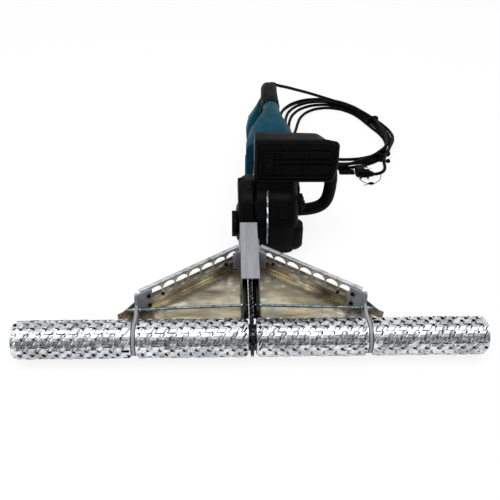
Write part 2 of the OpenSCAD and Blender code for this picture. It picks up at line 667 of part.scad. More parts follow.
// Side cover over the sprocket, with a raised top beside the guard's arm
cover_x = [-22, housing_x[0] - 0.3];
cover_corners = [[-80, 24, 14], [14, 24, 10], [14, 56, 14], [-16, 84, 16], [-54, 100, 16], [-80, 88, 14]];
chain_corners = [[-80, 24, 14], [44, 24, 14], [44, 104, 10], [-54, 104, 16], [-80, 88, 14]];
chain_x = -16;
top_corners = [[-56, 86, 4], [44, 86, 4], [44, 104, 10], [24, 122, 14], [0, 141, 16], [-30, 144, 18],
               [-56, 130, 18]];
module sprocket_cover() color([0.05, 0.05, 0.055]) in_saw() difference() {
    union() {
        loft(side_rings(cover_corners, [[cover_x[0], 8], [cover_x[0] + 2, 3], [cover_x[0] + 6, 0],
                                        [cover_x[1], 0]]));
        loft(side_rings(chain_corners, [[chain_x, 4], [chain_x + 2, 1], [chain_x + 4, 0], [cover_x[1], 0]]));
        loft(side_rings(top_corners, [[-19, 12], [-16.5, 8.5], [-9, 3.5], [-2, 0], [guard_x[0] - 0.6, 0]]));
    }
    loft(side_rings(cover_corners, [[cover_x[0] + 3, 6], [cover_x[1] + 1, 3]]));
    loft(side_rings(chain_corners, [[chain_x + 3, 5], [cover_x[1] + 1, 3]]));
    translate([-boom_w / 2 - 0.4, -100, -10]) cube([60, 100 - 28, roof_z - 3 + 10]);
    at_yz(knob_at) rod_x(stud_r + clear, -50, 0);
    at_yz(dial_at) rod_x(4 + run, -50, cover_x[0] + 8);
}

knob_at = [stud_y[0] * cos(tilt) - spindle_y, tip_r + stud_y[0] * sin(tilt)];
dial_at = [-20, 44];
knob_r = 26;
knob_x = [cover_x[0] - 9.3, cover_x[0] - 0.3];
module clamp_knob() color([0.05, 0.05, 0.055]) in_saw() at_yz(knob_at) difference() {
    rod_x(knob_r, knob_x[0], knob_x[1]);
    for (a = [0:30:330]) rotate([a, 0, 0]) translate([0, 0, knob_r + 2])
        rod_x(4, knob_x[0] - 1, knob_x[1] + 1);
    rod_x(stud_r + run, knob_x[1] - 3.3, knob_x[1] + 1);
    translate([knob_x[0] - 1, -6, -16]) cube([5.8, 12, 34]);
    translate([knob_x[0] + 2, 0, -12]) rotate([90, 0, 0]) cylinder(r = 1.5 + run, h = 30, center = true);
}
module clamp_lever() color([0.5, 0.5, 0.52]) in_saw() at_yz(knob_at) {
    translate([knob_x[0], -5, -14]) cube([3.4, 10, 30]);
    translate([knob_x[0] + 2, 0, -12]) rotate([90, 0, 0]) cylinder(r = 1.5, h = 28, center = true);
}
module tension_dial() color([0.1, 0.1, 0.11]) in_saw() at_yz(dial_at) difference() {
    union() {
        rod_x(11, cover_x[0] - 5.3, cover_x[0] - 0.3);
        rod_x(4, cover_x[0] - 1, cover_x[0] + 6);
    }
    for (a = [0:30:330]) rotate([a, 0, 0]) translate([0, 0, 12]) rod_x(2, cover_x[0] - 6, cover_x[0]);
    translate([cover_x[0] - 6, -1, -8]) cube([2, 2, 16]);
}

// Front handle, from its foot on the motor housing, up and over to the gear housing
handle_route = [[motor_x[1] + 0.2, -15, 64], [106, -15, 64], [111, -15, 64], [127, -15, 65.5], [143, -14, 69],
                [156, -12, 75.5], [164.5, -9.5, 87], [168.5, -7, 104], [170, -4.5, 122], [169, -2, 143],
                [164, 1, 166], [153, 5, 182], [136, 8, 191], [112, 9, 195], [84, 9, 195], [58, 9, 191],
                [42, 9, 182], [36, 9, 168], [36, 9, 159], [36, 9, 150.2]];
module front_handle() color([0.06, 0.06, 0.065]) in_saw() {
    sweep(spline(handle_route, 2), front_handle_d / 2, [0.2, 1, 0.1], 16);
    translate([motor_x[1] + 0.5, -15, 72]) cube([16, 20, 15]);
}

module oil_cap() color([0.09, 0.09, 0.1]) in_saw() at_yz(oil_cap_at) difference() {
    union() {
        rod_x(14, motor_x[1] + 0.3, motor_x[1] + 9);
        rod_x(oil_neck_r, motor_x[1] - 12, motor_x[1] + 1);
    }
    for (a = [0:30:330]) rotate([a, 0, 0]) translate([0, 0, 15]) rod_x(2.2, motor_x[1] - 1, motor_x[1] + 10);
}

// ---------- drive ----------
module toothed(r, teeth, depth) polygon([
    for (i = [0:teeth - 1]) let (p = 360 / teeth)
        each [polar(r - depth, (i - 0.28) * p), polar(r, (i - 0.14) * p), polar(r, (i + 0.14) * p),
              polar(r - depth, (i + 0.28) * p)]
]);
module spindle() color("silver") in_saw() at_yz([0, spindle_z]) {
    rod_x(spindle_r, -7, 55);
    rod_x(spindle_r + 3, -7.2, -5.8);
}
module gear_wheel() color("silver") in_saw() at_yz([0, spindle_z]) difference() {
    union() {
        along_x(34, 44) toothed(gear_r - 0.2, 45, 2.2);
        rod_x(11, 31, 48);
    }
    rod_x(spindle_r + run, 30, 49);
    for (a = [0:60:300]) rotate([a, 0, 0]) translate([0, 0, 22]) rod_x(5, 30, 50);
}
module spindle_bearings() color("silver") in_saw() {
    at_yz([0, spindle_z]) {
        ring_x(spindle_bearing_r, spindle_r + run, 22, 30);
        ring_x(spindle_bearing_r, spindle_r + run, 50, 55);
    }
    at_yz(motor_axis) {
        ring_x(shaft_bearing_r, seat_r + run, 23, 29);
        ring_x(shaft_bearing_r, seat_r + run, 89.5, 95.5);
    }
}
module armature() color([0.5, 0.3, 0.15]) in_saw() at_yz(motor_axis) {
    rod_x(seat_r, 22.5, 96);
    rod_x(shaft_r, 29.5, 89);
    along_x(33, 45) toothed(pinion_r - 0.2, 9, 2);
    rod_x(24, 57, 79.5);
    for (x = [53, 79.5]) rod_x(18, x, x + 4);
}
module stator() color([0.35, 0.36, 0.38]) in_saw() at_yz(motor_axis) difference() {
    rod_x(stator_r, 60, 78);
    rod_x(25.5, 59, 79);
}
module cooling_fan() color([0.1, 0.1, 0.1]) in_saw() at_yz(motor_axis) difference() {
    union() {
        rod_x(36, 84, 85.5);
        rod_x(9, 84, 88.5);
        for (a = [0:40:320]) rotate([a, 0, 0]) translate([84, -1, 8]) cube([4, 2, 26]);
    }
    rod_x(shaft_r + run, 83, 90);
}

// ---------- rear body ----------
saw_end = y_rear - spindle_y;
grip_x = 63;
// Sections from the rear end forwards: [y, centre x, centre z, width, height, corner radius]
rear_sections = [
    [saw_end, grip_x + 3, 130, 27, 28, 12], [saw_end - 4, grip_x + 3, 131, 33, 36, 14],
    [saw_end - 20, grip_x + 2, 134, 36, 42, 16], [saw_end - 60, grip_x, 140, 36, 42, 16],
    [300, grip_x, 146, 36, 44, 16], [245, grip_x - 1, 149, 38, 48, 17], [222, grip_x - 3, 139, 46, 70, 20],
    [198, 58.5, 120, 66, 108, 26], [168, 56.5, 98, 92, 148, 30], [130, 54.5, 84, 106, 158, 26],
    [97, 54.5, 81, 108, 154, 20], [95.3, 54.5, 81, 104, 150, 18]
];
// Sections of the rear post from the foot upwards: [z, centre y, width, depth]
post_sections = [
    [0, saw_end - 28, 66, 50], [30, saw_end - 28, 68, 50], [62, saw_end - 24, 62, 40],
    [92, saw_end - 22, 44, 32], [114, saw_end - 22, 34, 28], [128, saw_end - 22, 28, 24]
];
post_side = grip_x + 15;
function upright(s, more) =
    [for (p = round_rect(s[1], s[2], s[3] + more, s[4] + more, s[5], 4)) [p[0], s[0], p[1]]];
module rear_body() {
    loft([for (s = rear_sections) upright(s, 0)]);
    loft([for (s = post_sections)
        [for (p = round_rect(post_side - s[2] / 2, s[1], s[2], s[3], 10, 4)) [p[0], p[1], s[0]]]]);
    translate([post_side - 64, 150, 0]) cube([60, saw_end - 190, 22]);
}
trigger_axis = [240, 132];
button_at = [254, 154];
button_r = 5;
button_travel = 4;
module rear_cutouts() {
    translate([grip_x - 8, trigger_axis[0] - 8, 90]) cube([16, 66, 55]);
    at_yz(trigger_axis) rod_x(2 + run, grip_x - 15, grip_x + 15);
    at_yz(button_at) rod_x(button_r + run, 0, grip_x - 12 + button_travel + 1);
}
module rear_half(x0, x1) color([0.02, 0.3, 0.36]) in_saw() intersection() {
    difference() {
        rear_body();
        rear_cutouts();
    }
    translate([x0, 0, -1]) cube([x1 - x0, 600, 300]);
}
grip_y = [268, saw_end - 6];
grip_skin = 1.6;
module grip_overmould() color([0.04, 0.04, 0.045]) in_saw() intersection() {
    difference() {
        loft([for (s = rear_sections) if (s[0] > 200) upright(s, 2 * grip_skin)]);
        loft([for (s = rear_sections) if (s[0] > 200)
            upright([s[0] + (s[0] > 400 ? 2 : 0), s[1], s[2], s[3], s[4], s[5]], 0.3)]);
    }
    translate([0, grip_y[0], 136]) cube([200, grip_y[1] - grip_y[0], 60]);
}
module trigger() color([0.1, 0.1, 0.11]) in_saw() at_yz(trigger_axis) {
    along_x(grip_x - 6, grip_x + 6) union() {
        circle(5.5);
        polygon([[0, 5], [6, 5], [46, -7], [48, -14], [38, -24], [22, -26], [6, -12], [-4, -3]]);
    }
    rod_x(2, grip_x - 14, grip_x + 14);
}
module lock_off_button() color([0.12, 0.12, 0.13]) in_saw() at_yz(button_at)
    rod_x(button_r, grip_x - 26, grip_x - 12);

// ---------- cord ----------
// Places on the cord stand behind the saw's rear end, over the ground
module at_end() translate([0, y_rear, 0]) children();
cord_r = cord_d / 2;
gland_route = [[grip_x + 3, 0.3, 130], [grip_x + 3, 4, 130], [grip_x + 5.5, 8.5, 133.5], [grip_x + 11, 13, 137],
               [grip_x + 19, 19.6, 133.4]];
gland_r = [9.5, 9, 7.5, 6.5, 5.5];
lead_route = [[82.4, 20, 133.1], [88.8, 26, 128.7], [95.2, 32.2, 124.3], [120.4, 54, 109], [143, 75, 93.5],
              [169.8, 97, 76.6], [194.3, 116, 61], [220.7, 131, 46], [245.8, 141, 33.6], [269, 143, 25],
              [290.6, 135, 20.8], [311, 117, 19.8], [330, 94, 19.7], [349, 61, 19.7], [360, 26, 19.7]];
tail_route = [[308.3, -211, 12], [311, -211, 12], [314, -210.9, 12], [323, -208.6, 12], [332, -202.5, 12.3],
              [338.5, -193, 13], [341.5, -182, 14.2], [342, -170, 16], [343, -157, 18.2], [347, -143, 19.5],
              [354, -127, 19.7], [362, -109, 19.7]];
coil_h = 15.6;
coil_outer = [[238, -193], [261, -181], [285, -177], [312, -167], [345, -138], [375, -105], [389, -70],
              [390, -30], [384, 23], [372, 68], [350, 107], [318, 150], [275, 184], [245, 198], [215, 201],
              [180, 195], [148, 181], [124, 156], [107, 128], [95, 80], [88, 10], [90, -70], [112, -140],
              [165, -183]];
coil_inner = [[243, -124], [278, -122], [320, -120], [337, -111], [350, -87], [356, -53], [359, -9], [351, 36],
              [334, 64], [311, 93], [287, 119], [264, 140], [239, 143], [213, 135], [190, 117], [169, 88],
              [153, 60], [143, 30], [139, 0], [143, -45], [160, -92], [197, -118]];
// A smooth closed line through points
function closed(p, n) = let (m = len(p), s = spline(concat([p[m - 1]], p, [p[0], p[1]]), n))
    [for (i = [n:(m + 1) * n - 1]) s[i]];
module cord_guard() color([0.03, 0.03, 0.03]) at_end() sweep(gland_route, gland_r, [0, 0, 1], 16);
module cord_lead() color([0.03, 0.03, 0.03]) at_end() sweep(spline(lead_route, 3), cord_r, [0, 0, 1], 10);
module cord_tail() color([0.03, 0.03, 0.03]) at_end() sweep(spline(tail_route, 3), cord_r, [0, 0, 1], 10);
module cord_coil() color([0.03, 0.03, 0.03]) at_end() linear_extrude(coil_h) difference() {
    polygon(closed(coil_outer, 3));
    polygon(closed(coil_inner, 3));
}
// A flat plug on its edge: its pins point to the saw's front and the cord leaves it sideways
plug_at = [268, -211, 12];
module mains_plug() color([0.03, 0.03, 0.03]) at_end() translate(plug_at) {
    loft([for (s = [[-0.5, 15, 26, 18, 6], [2, 14, 30, 22, 7], [22, 13, 32, 23.4, 7], [28, 9, 25, 20, 7],
                    [32, 2, 15, 15, 6], [40, 0, 10.4, 10.4, 5]])
        [for (p = round_rect(s[1], 0, s[2], s[3], s[4], 3)) [s[0], p[0], p[1]]]]);
    for (x = [7.7, 24.3]) translate([x, 4, 0]) rotate([90, 0, 0]) cylinder(r = 2.4, h = 23);
}

translate([0, -y_mid, 0]) {
    axle();
    chain_wheel();
    drum_hubs();
    end_screws();
    drum_tube(outer_from, outer_to);  // drum_tube_outer_left
    drum_tube(inner_from, inner_to);  // drum_tube_inner_left
    drum_tube(-inner_to, -inner_from);  // drum_tube_inner_right
    drum_tube(-outer_to, -outer_from);  // drum_tube_outer_right
    rasp(outer_from, outer_to);  // rasp_outer_left
    rasp(inner_from, inner_to);  // rasp_inner_left
    rasp(-inner_to, -inner_from);  // rasp_inner_right
    rasp(-outer_to, -outer_from);  // rasp_outer_right
    drive_chain();
    guide_bar();
    boom_plate_at(1);  // boom_plate_left
    boom_plate_at(-1);  // boom_plate_right
    boom_spacers();
    chain_cover();
    arm_at(1);  // arm_left
    arm_at(-1);  // arm_right
    arm_root_at(1);  // arm_root_left
    arm_root_at(-1);  // arm_root_right
    boom_bolts();
    hanger_at(1);  // hanger_left
    hanger_at(-1);  // hanger_right
    axle_bearings();
    apron_at(1);  // apron_left
    apron_at(-1);  // apron_right
    tie_rods();
    arm_screws();
    gear_housing();
    motor_housing();
    base_cover();
    rear_half(grip_x + 0.05, 200);  // rear_housing_left
    rear_half(-100, grip_x - 0.05);  // rear_housing_right
    grip_overmould();
    sprocket_cover();
    bar_studs();
    spike_bumper();
    drive_sprocket();
    spindle();
    gear_wheel();
    spindle_bearings();
    armature();
    stator();
    cooling_fan();
    clamp_knob();
    clamp_lever();
    tension_dial();
    front_handle();
    hand_guard();
    guard_pivots();
    trigger();
    lock_off_button();
    oil_cap();
    cord_guard();
    cord_lead();
    cord_coil();
    cord_tail();
    mains_plug();
}
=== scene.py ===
import json
import math
import random
import bpy
import bmesh
from mathutils import Matrix, Vector, noise


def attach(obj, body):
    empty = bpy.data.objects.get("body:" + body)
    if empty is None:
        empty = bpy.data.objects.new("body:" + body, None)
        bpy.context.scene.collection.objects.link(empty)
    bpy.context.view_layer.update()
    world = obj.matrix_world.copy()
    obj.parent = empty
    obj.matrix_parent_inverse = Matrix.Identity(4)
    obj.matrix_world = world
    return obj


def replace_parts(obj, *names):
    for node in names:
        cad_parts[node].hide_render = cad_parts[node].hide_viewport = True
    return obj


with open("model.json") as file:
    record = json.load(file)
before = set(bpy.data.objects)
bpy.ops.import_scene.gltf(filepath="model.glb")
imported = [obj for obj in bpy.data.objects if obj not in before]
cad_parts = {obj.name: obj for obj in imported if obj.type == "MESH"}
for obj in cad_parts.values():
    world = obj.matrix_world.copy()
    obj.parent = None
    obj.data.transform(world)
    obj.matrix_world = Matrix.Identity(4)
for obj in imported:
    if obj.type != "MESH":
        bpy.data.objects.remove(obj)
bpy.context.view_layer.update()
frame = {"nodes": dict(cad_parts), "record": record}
nodes = frame["nodes"]
bodyOf = {n: b for b, members in frame["record"]["behaviour"]["bodies"].items() for n in members}
slotOf = {entry["node"]: entry["material_slot"] for entry in frame["record"]["subparts"]}
print("frame loaded:", len(nodes), "nodes")

place = {"spindleY": -14.18, "drumY": -368.82, "drumZ": 34.0, "boomTilt": math.radians(6.595), "sawEnd": 417.0}


def hexColour(text):
    values = [int(text[i:i + 2], 16) / 255 for i in (1, 3, 5)]
    linear = [v / 12.92 if v <= 0.04045 else ((v + 0.055) / 1.055) ** 2.4 for v in values]
    return (*linear, 1.0)


def saw(x, y, z):
    # a place in mm behind the spindle and over the base
    return Vector((x, y + place["spindleY"], z)) / 1000


def atEnd(x, y, z):
    # a place in mm behind the saw's rear end
    return saw(x, y + place["sawEnd"], z)


def boom(x, y, z):
    # a place in mm along the boom from the roller's axle
    c, s = math.cos(place["boomTilt"]), math.sin(place["boomTilt"])
    return Vector((x, y * c - z * s + place["drumY"], y * s + z * c + place["drumZ"])) / 1000


def drum(x, angle, radius):
    # a place on the roller: angle goes from the back over the top to the front
    y, z = radius * math.cos(angle), radius * math.sin(angle)
    return Vector((x, y + place["drumY"], z + place["drumZ"])) / 1000


def link(thing):
    bpy.context.scene.collection.objects.link(thing)
    return thing


def pieceFrom(work, name, body, finishNames, smooth=35):
    # the first finish is the piece's own; edges sharper than smooth degrees stay sharp
    mesh = bpy.data.meshes.new(name)
    work.normal_update()
    work.to_mesh(mesh)
    work.free()
    for entry in finishNames:
        mesh.materials.append(finish[entry])
    if smooth:
        for face in mesh.polygons:
            face.use_smooth = True
        mesh.set_sharp_from_angle(angle=math.radians(smooth))
    piece = link(bpy.data.objects.new(name, mesh))
    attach(piece, body)
    return piece


def skin(work, rings, capped=True, closed=True):
    # a skin over rings of points, each ring the same count
    rows = [[work.verts.new(p) for p in ring] for ring in rings]
    count = len(rows[0])
    for low, high in zip(rows, rows[1:]):
        for i in range(count if closed else count - 1):
            j = (i + 1) % count
            work.faces.new((low[i], low[j], high[j], high[i]))
    if capped:
        work.faces.new(rows[0][::-1])
        work.faces.new(rows[-1])


def faceOut(work):
    bmesh.ops.recalc_face_normals(work, faces=work.faces)


def inset(corners, d):
    # the same outline moved inwards by d: corners are (a, b, radius), counter-clockwise
    count = len(corners)
    lines = []
    for i in range(count):
        a, b = Vector(corners[i][:2]), Vector(corners[(i + 1) % count][:2])
        along = (b - a).normalized()
        lines.append((a + Vector((-along.y, along.x)) * d, along))
    out = []
    for i in range(count):
        (p, u), (q, v) = lines[i - 1], lines[i]
        cross = u.x * v.y - u.y * v.x
        t = ((q - p).x * v.y - (q - p).y * v.x) / cross if abs(cross) > 1e-6 else 0
        spot = p + u * t
        out.append((spot.x, spot.y, max(corners[i][2] - d, 0.4)))
    return out


def rounded(corners, steps):
    # an outline from corners (a, b, radius), each turned into an arc
    count, out = len(corners), []
    for i in range(count):
        before, here, after = (Vector(corners[k % count][:2]) for k in (i - 1, i, i + 1))
        u, v = (before - here).normalized(), (after - here).normalized()
        half = u.angle(v) / 2
        reach = min(corners[i][2] / math.tan(half), (before - here).length * 0.49,
                    (after - here).length * 0.49)
        radius = reach * math.tan(half)
        centre = here + (u + v).normalized() * (radius / math.sin(half))
        first, last = here + u * reach - centre, here + v * reach - centre
        turn = math.atan2(first.x * last.y - first.y * last.x, first.dot(last))
        for k in range(steps + 1):
            c, s = math.cos(turn * k / steps), math.sin(turn * k / steps)
            out.append((centre.x + first.x * c - first.y * s, centre.y + first.x * s + first.y * c))
    return out


def curved(points, steps):
    # a smooth line through points
    out = []
    last = len(points) - 1
    for i in range(last):
        a, b, c, d = (Vector(points[max(0, min(last, k))]) for k in (i - 1, i, i + 1, i + 2))
        for k in range(steps):
            t = k / steps
            out.append(0.5 * (2 * b + (c - a) * t + (2 * a - 5 * b + 4 * c - d) * t * t
                              + (3 * b - a - 3 * c + d) * t ** 3))
    return out + [Vector(points[-1])]


def tube(work, line, radius, sides, up=Vector((0, 0, 1))):
    # a round skin along a line in metres, its radius in mm at each point or all along
    rings = []
    for i, spot in enumerate(line):
        ahead = (line[min(i + 1, len(line) - 1)] - line[max(i - 1, 0)]).normalized()
        across = ahead.cross(up).normalized()
        rise = across.cross(ahead)
        r = (radius[i] if isinstance(radius, list) else radius) / 1000
        rings.append([spot + across * (r * math.cos(a)) + rise * (r * math.sin(a))
                      for a in (2 * math.pi * k / sides for k in range(sides))])
    skin(work, rings)


def boxCorners(low, high, lowZ, highZ, radius, d=0):
    # a rounded rectangle's corners, drawn in by d
    return [(low + d, lowZ + d, radius), (high - d, lowZ + d, radius), (high - d, highZ - d, radius),
            (low + d, highZ - d, radius)]


def addNode(tree, kind, inputs=None, stops=(), **settings):
    # stops are a colour ramp's: a place and a hex colour or a grey level
    node = tree.nodes.new(kind)
    for key, value in settings.items():
        setattr(node, key, value)
    for key, value in (inputs or {}).items():
        socket = node.inputs[key]
        if isinstance(value, bpy.types.NodeSocket):
            tree.links.new(value, socket)
        else:
            socket.default_value = value
    while stops and len(stops) > len(node.color_ramp.elements):
        node.color_ramp.elements.new(0.5)
    for i, (position, colour) in enumerate(stops):
        element = node.color_ramp.elements[i]
        element.position = position
        element.color = hexColour(colour) if isinstance(colour, str) else (colour, colour, colour, 1)
    return node


def newMaterial(name):
    material = bpy.data.materials.new(name)
    material.use_nodes = True
    tree = material.node_tree
    surface = tree.nodes["Principled BSDF"]
    return material, tree, surface, addNode(tree, "ShaderNodeTexCoord").outputs["Object"]


cameraSet = {"eye": (-0.0452, -1.2194, 0.8891), "pitch": 38.0, "yaw": 2.58, "roll": 1.2, "lens": 50.4}


def makeCamera():
    data = bpy.data.cameras.new("camera")
    data.lens = cameraSet["lens"]
    data.sensor_width = 36
    data.clip_end = 50
    camera = link(bpy.data.objects.new("camera", data))
    aim = Matrix.Rotation(-math.radians(cameraSet["yaw"]), 3, "Z") \
        @ Matrix.Rotation(math.radians(90 - cameraSet["pitch"]), 3, "X") \
        @ Matrix.Rotation(math.radians(cameraSet["roll"]), 3, "Z")
    camera.location = cameraSet["eye"]
    camera.rotation_euler = aim.to_euler()
    bpy.context.scene.camera = camera
    print("camera set")


makeCamera()


def surfaceFinish(name, colours, grain, rough, metal, fine, depth, turn=0.0, level=0.5, smearAndReflection=None):
    # colours run from one to the next over grain mm along x, y and z; fine and depth are the skin's own texture in
    # mm; the last argument gives patches: their size in mm, their colour and how much of the surface they cover;
    # on most finishes they are smears, on the apron sheet they are smears and painted reflection both
    material, tree, surface, where = newMaterial(name)
    laid = addNode(tree, "ShaderNodeMapping", {"Vector": where, "Rotation": (0, 0, math.radians(turn)),
                                               "Scale": [1000 / g for g in grain]})
    broad = addNode(tree, "ShaderNodeTexNoise", {"Vector": laid.outputs["Vector"], "Scale": 1.0, "Detail": 4.0,
                                                 "Roughness": 0.55})
    stops = [(0.3 + 0.4 * i / (len(colours) - 1), c) for i, c in enumerate(colours)]
    colour = addNode(tree, "ShaderNodeValToRGB", {"Fac": broad.outputs["Fac"]}, stops).outputs["Color"]
    low, high = rough
    polish = addNode(tree, "ShaderNodeMapRange", {"Value": broad.outputs["Fac"], "From Min": 0.3,
                                                  "From Max": 0.7, "To Min": high,
                                                  "To Max": low}).outputs["Result"]
    if smearAndReflection:
        size, shade, share = smearAndReflection
        cloud = addNode(tree, "ShaderNodeTexNoise", {"Vector": where, "Scale": 1000 / size, "Detail": 5.0,
                                                     "Roughness": 0.65, "Distortion": 0.6})
        spots = addNode(tree, "ShaderNodeMapRange", {"Value": cloud.outputs["Fac"],
                                                     "From Min": 0.62 - share * 0.3,
                                                     "From Max": 0.78 - share * 0.2}).outputs["Result"]
        mixed = addNode(tree, "ShaderNodeMix", {"Factor": spots}, data_type="RGBA")
        tree.links.new(colour, mixed.inputs["A"])
        mixed.inputs["B"].default_value = hexColour(shade)
        colour = mixed.outputs["Result"]
        polish = addNode(tree, "ShaderNodeMath", {0: spots, 1: 0.16, 2: polish},
                         operation="MULTIPLY_ADD").outputs[0]
    tree.links.new(colour, surface.inputs["Base Color"])
    tree.links.new(polish, surface.inputs["Roughness"])
    surface.inputs["Metallic"].default_value = metal
    surface.inputs["Specular IOR Level"].default_value = level
    texture = addNode(tree, "ShaderNodeTexNoise", {"Vector": where, "Scale": 1000 / fine, "Detail": 2.0})
    bump = addNode(tree, "ShaderNodeBump", {"Height": texture.outputs["Fac"], "Strength": 1.0,
                                            "Distance": depth / 1000})
    tree.links.new(bump.outputs["Normal"], surface.inputs["Normal"])
    return material


finish = {
    # stainless sheet, bright annealed and pressed: nearly a mirror, broken up by shallow dents
    "rasp": surfaceFinish("bright stainless sheet", ("#9fa2a6", "#cfd2d6", "#f2f3f5"), (22, 9, 9),
                          (0.1, 0.24), 1.0, fine=6, depth=0.55, smearAndReflection=(60, "#8e9088", 0.35)),
    # the same sheet inside the slots: painted shade, a dark colour on the strips' undersides and on the holes
    # under them, standing in for the shade inside the roller
    "slotShade": surfaceFinish("painted shade in the slots", ("#15161a", "#2c2e33"), (8, 8, 8), (0.5, 0.8), 0.6,
                              fine=2, depth=0.3),
    # aluminium turned on a lathe: a soft sheen
    "drum_aluminium": surfaceFinish("turned aluminium", ("#6d7075", "#9ea1a6"), (3, 30, 30), (0.28, 0.42), 1.0,
                                    fine=1.2, depth=0.06),
    # steel ground flat and oiled: bright with a light drag along it
    "bright_steel": surfaceFinish("ground steel", ("#7d8086", "#c3c6ca"), (2.2, 22, 2.2), (0.18, 0.34), 1.0,
                                  fine=1.0, depth=0.04, smearAndReflection=(18, "#3b3a38", 0.3)),
    # blued chain steel under oil: black with narrow bright edges
    "chain_steel": surfaceFinish("blued chain steel", ("#0d0d0f", "#2a2b2e"), (3, 3, 3), (0.2, 0.38), 1.0,
                                 fine=1.5, depth=0.08, smearAndReflection=(6, "#8d9095", 0.25)),
    # stove enamel on steel: black with a gentle orange peel
    "black_steel": surfaceFinish("black stove enamel", ("#08080a", "#111115"), (20, 20, 20), (0.28, 0.42), 0.0,
                                 fine=2.4, depth=0.05, level=0.2, smearAndReflection=(30, "#222225", 0.1)),
    # powder coat on steel tube: even, matt and slightly pebbled
    "grey_steel": surfaceFinish("grey powder coat", ("#84868c", "#8e9096", "#95989d"), (9, 70, 40),
                                (0.42, 0.58), 0.0, fine=1.1, depth=0.06, level=0.4, smearAndReflection=(40, "#85868a", 0.25)),
    # aluminium bar brushed along its length: a grey sheen with fine drag marks
    "arm_aluminium": surfaceFinish("brushed aluminium", ("#9c9ea2", "#bcbec2", "#d8dadd"), (70, 3, 3),
                                   (0.3, 0.44), 0.85, fine=1.4, depth=0.05, smearAndReflection=(24, "#6d6b64", 0.35)),
    # thin bright sheet, hand bent: its colour is painted reflection, long warm and dark streaks at a slant, with
    # grey patches that are smears and painted reflection both
    "apron_sheet": surfaceFinish("bright rolled sheet with painted reflections", ("#66604f", "#a2967b", "#c9bfa8", "#efebe0"),
                                 (120, 24, 60), (0.16, 0.3), 0.85, fine=45, depth=0.7, turn=28,
                                 smearAndReflection=(44, "#8b8d84", 0.45)),
    # zinc plate, blue passivated
    "zinc": surfaceFinish("blue zinc plate", ("#3c4d54", "#8d9ea4"), (10, 6, 6), (0.2, 0.34), 1.0,
                          fine=1.5, depth=0.05),
    # black oxide on screws: dark, with a dull shine
    "black_screw": surfaceFinish("black oxide steel", ("#050506", "#121214"), (3, 3, 3), (0.3, 0.45), 0.6,
                                 fine=1.0, depth=0.03),
    # glass-filled nylon from a spark-eroded mould: matt black with a fine grain
    "black_plastic": surfaceFinish("moulded black nylon", ("#040405", "#08080a"), (30, 30, 30), (0.36, 0.5), 0.0,
                                   fine=0.9, depth=0.05, level=0.06, smearAndReflection=(35, "#0e0e11", 0.2)),
    # the same moulding in teal
    "teal_plastic": surfaceFinish("moulded teal nylon", ("#03303f", "#09465a"), (40, 40, 40), (0.34, 0.5), 0.0,
                                  fine=0.9, depth=0.05, level=0.06, smearAndReflection=(35, "#0b4c5c", 0.2)),
    # soft elastomer moulded over the handle: dull, with a slight bloom
    "rubber": surfaceFinish("moulded rubber", ("#050506", "#0a0a0b"), (14, 14, 14), (0.5, 0.66), 0.0,
                            fine=1.0, depth=0.08, level=0.04, smearAndReflection=(25, "#0d0d0f", 0.25)),
    # rubber sheath of a mains lead: black with a soft shine along it
    "cord_rubber": surfaceFinish("rubber sheath", ("#020203", "#050506"), (20, 20, 20), (0.4, 0.52), 0.0,
                                 fine=2.0, depth=0.05, level=0.06),
    # stacked steel laminations
    "iron_core": surfaceFinish("stacked laminations", ("#3c3d41", "#6a6b70"), (0.9, 60, 60), (0.4, 0.5), 1.0,
                               fine=1.0, depth=0.05),
    # white card tag on the lead
    "tag": surfaceFinish("white card", ("#d4d5d8", "#ececee"), (10, 10, 10), (0.6, 0.8), 0.0, fine=1.5,
                         depth=0.05),
}
for nodeName, slotName in slotOf.items():
    nodes[nodeName].data.materials.clear()
    nodes[nodeName].data.materials.append(finish[slotName])
print("finishes made:", len(finish))


edgeSet = {"sharpFrom": 30, "segments": 2, "profile": 0.6, "flatWithin": 1.5}


def softened(node, width):
    # the node's own shape with its sharp edges rounded by width mm, so that they catch the light
    work = bmesh.new()
    work.from_mesh(nodes[node].data)
    bmesh.ops.remove_doubles(work, verts=work.verts, dist=2e-6)
    bmesh.ops.dissolve_limit(work, angle_limit=math.radians(edgeSet["flatWithin"]), verts=work.verts,
                             edges=work.edges, use_dissolve_boundaries=False)
    limit = math.radians(edgeSet["sharpFrom"])
    sharp = [e for e in work.edges if len(e.link_faces) == 2 and e.calc_face_angle(0) > limit]
    bmesh.ops.bevel(work, geom=sharp, offset=width / 1000, segments=edgeSet["segments"],
                    profile=edgeSet["profile"], affect="EDGES", clamp_overlap=True)
    piece = pieceFrom(work, node + "_piece", bodyOf[node], [slotOf[node]], 35)
    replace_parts(piece, node)

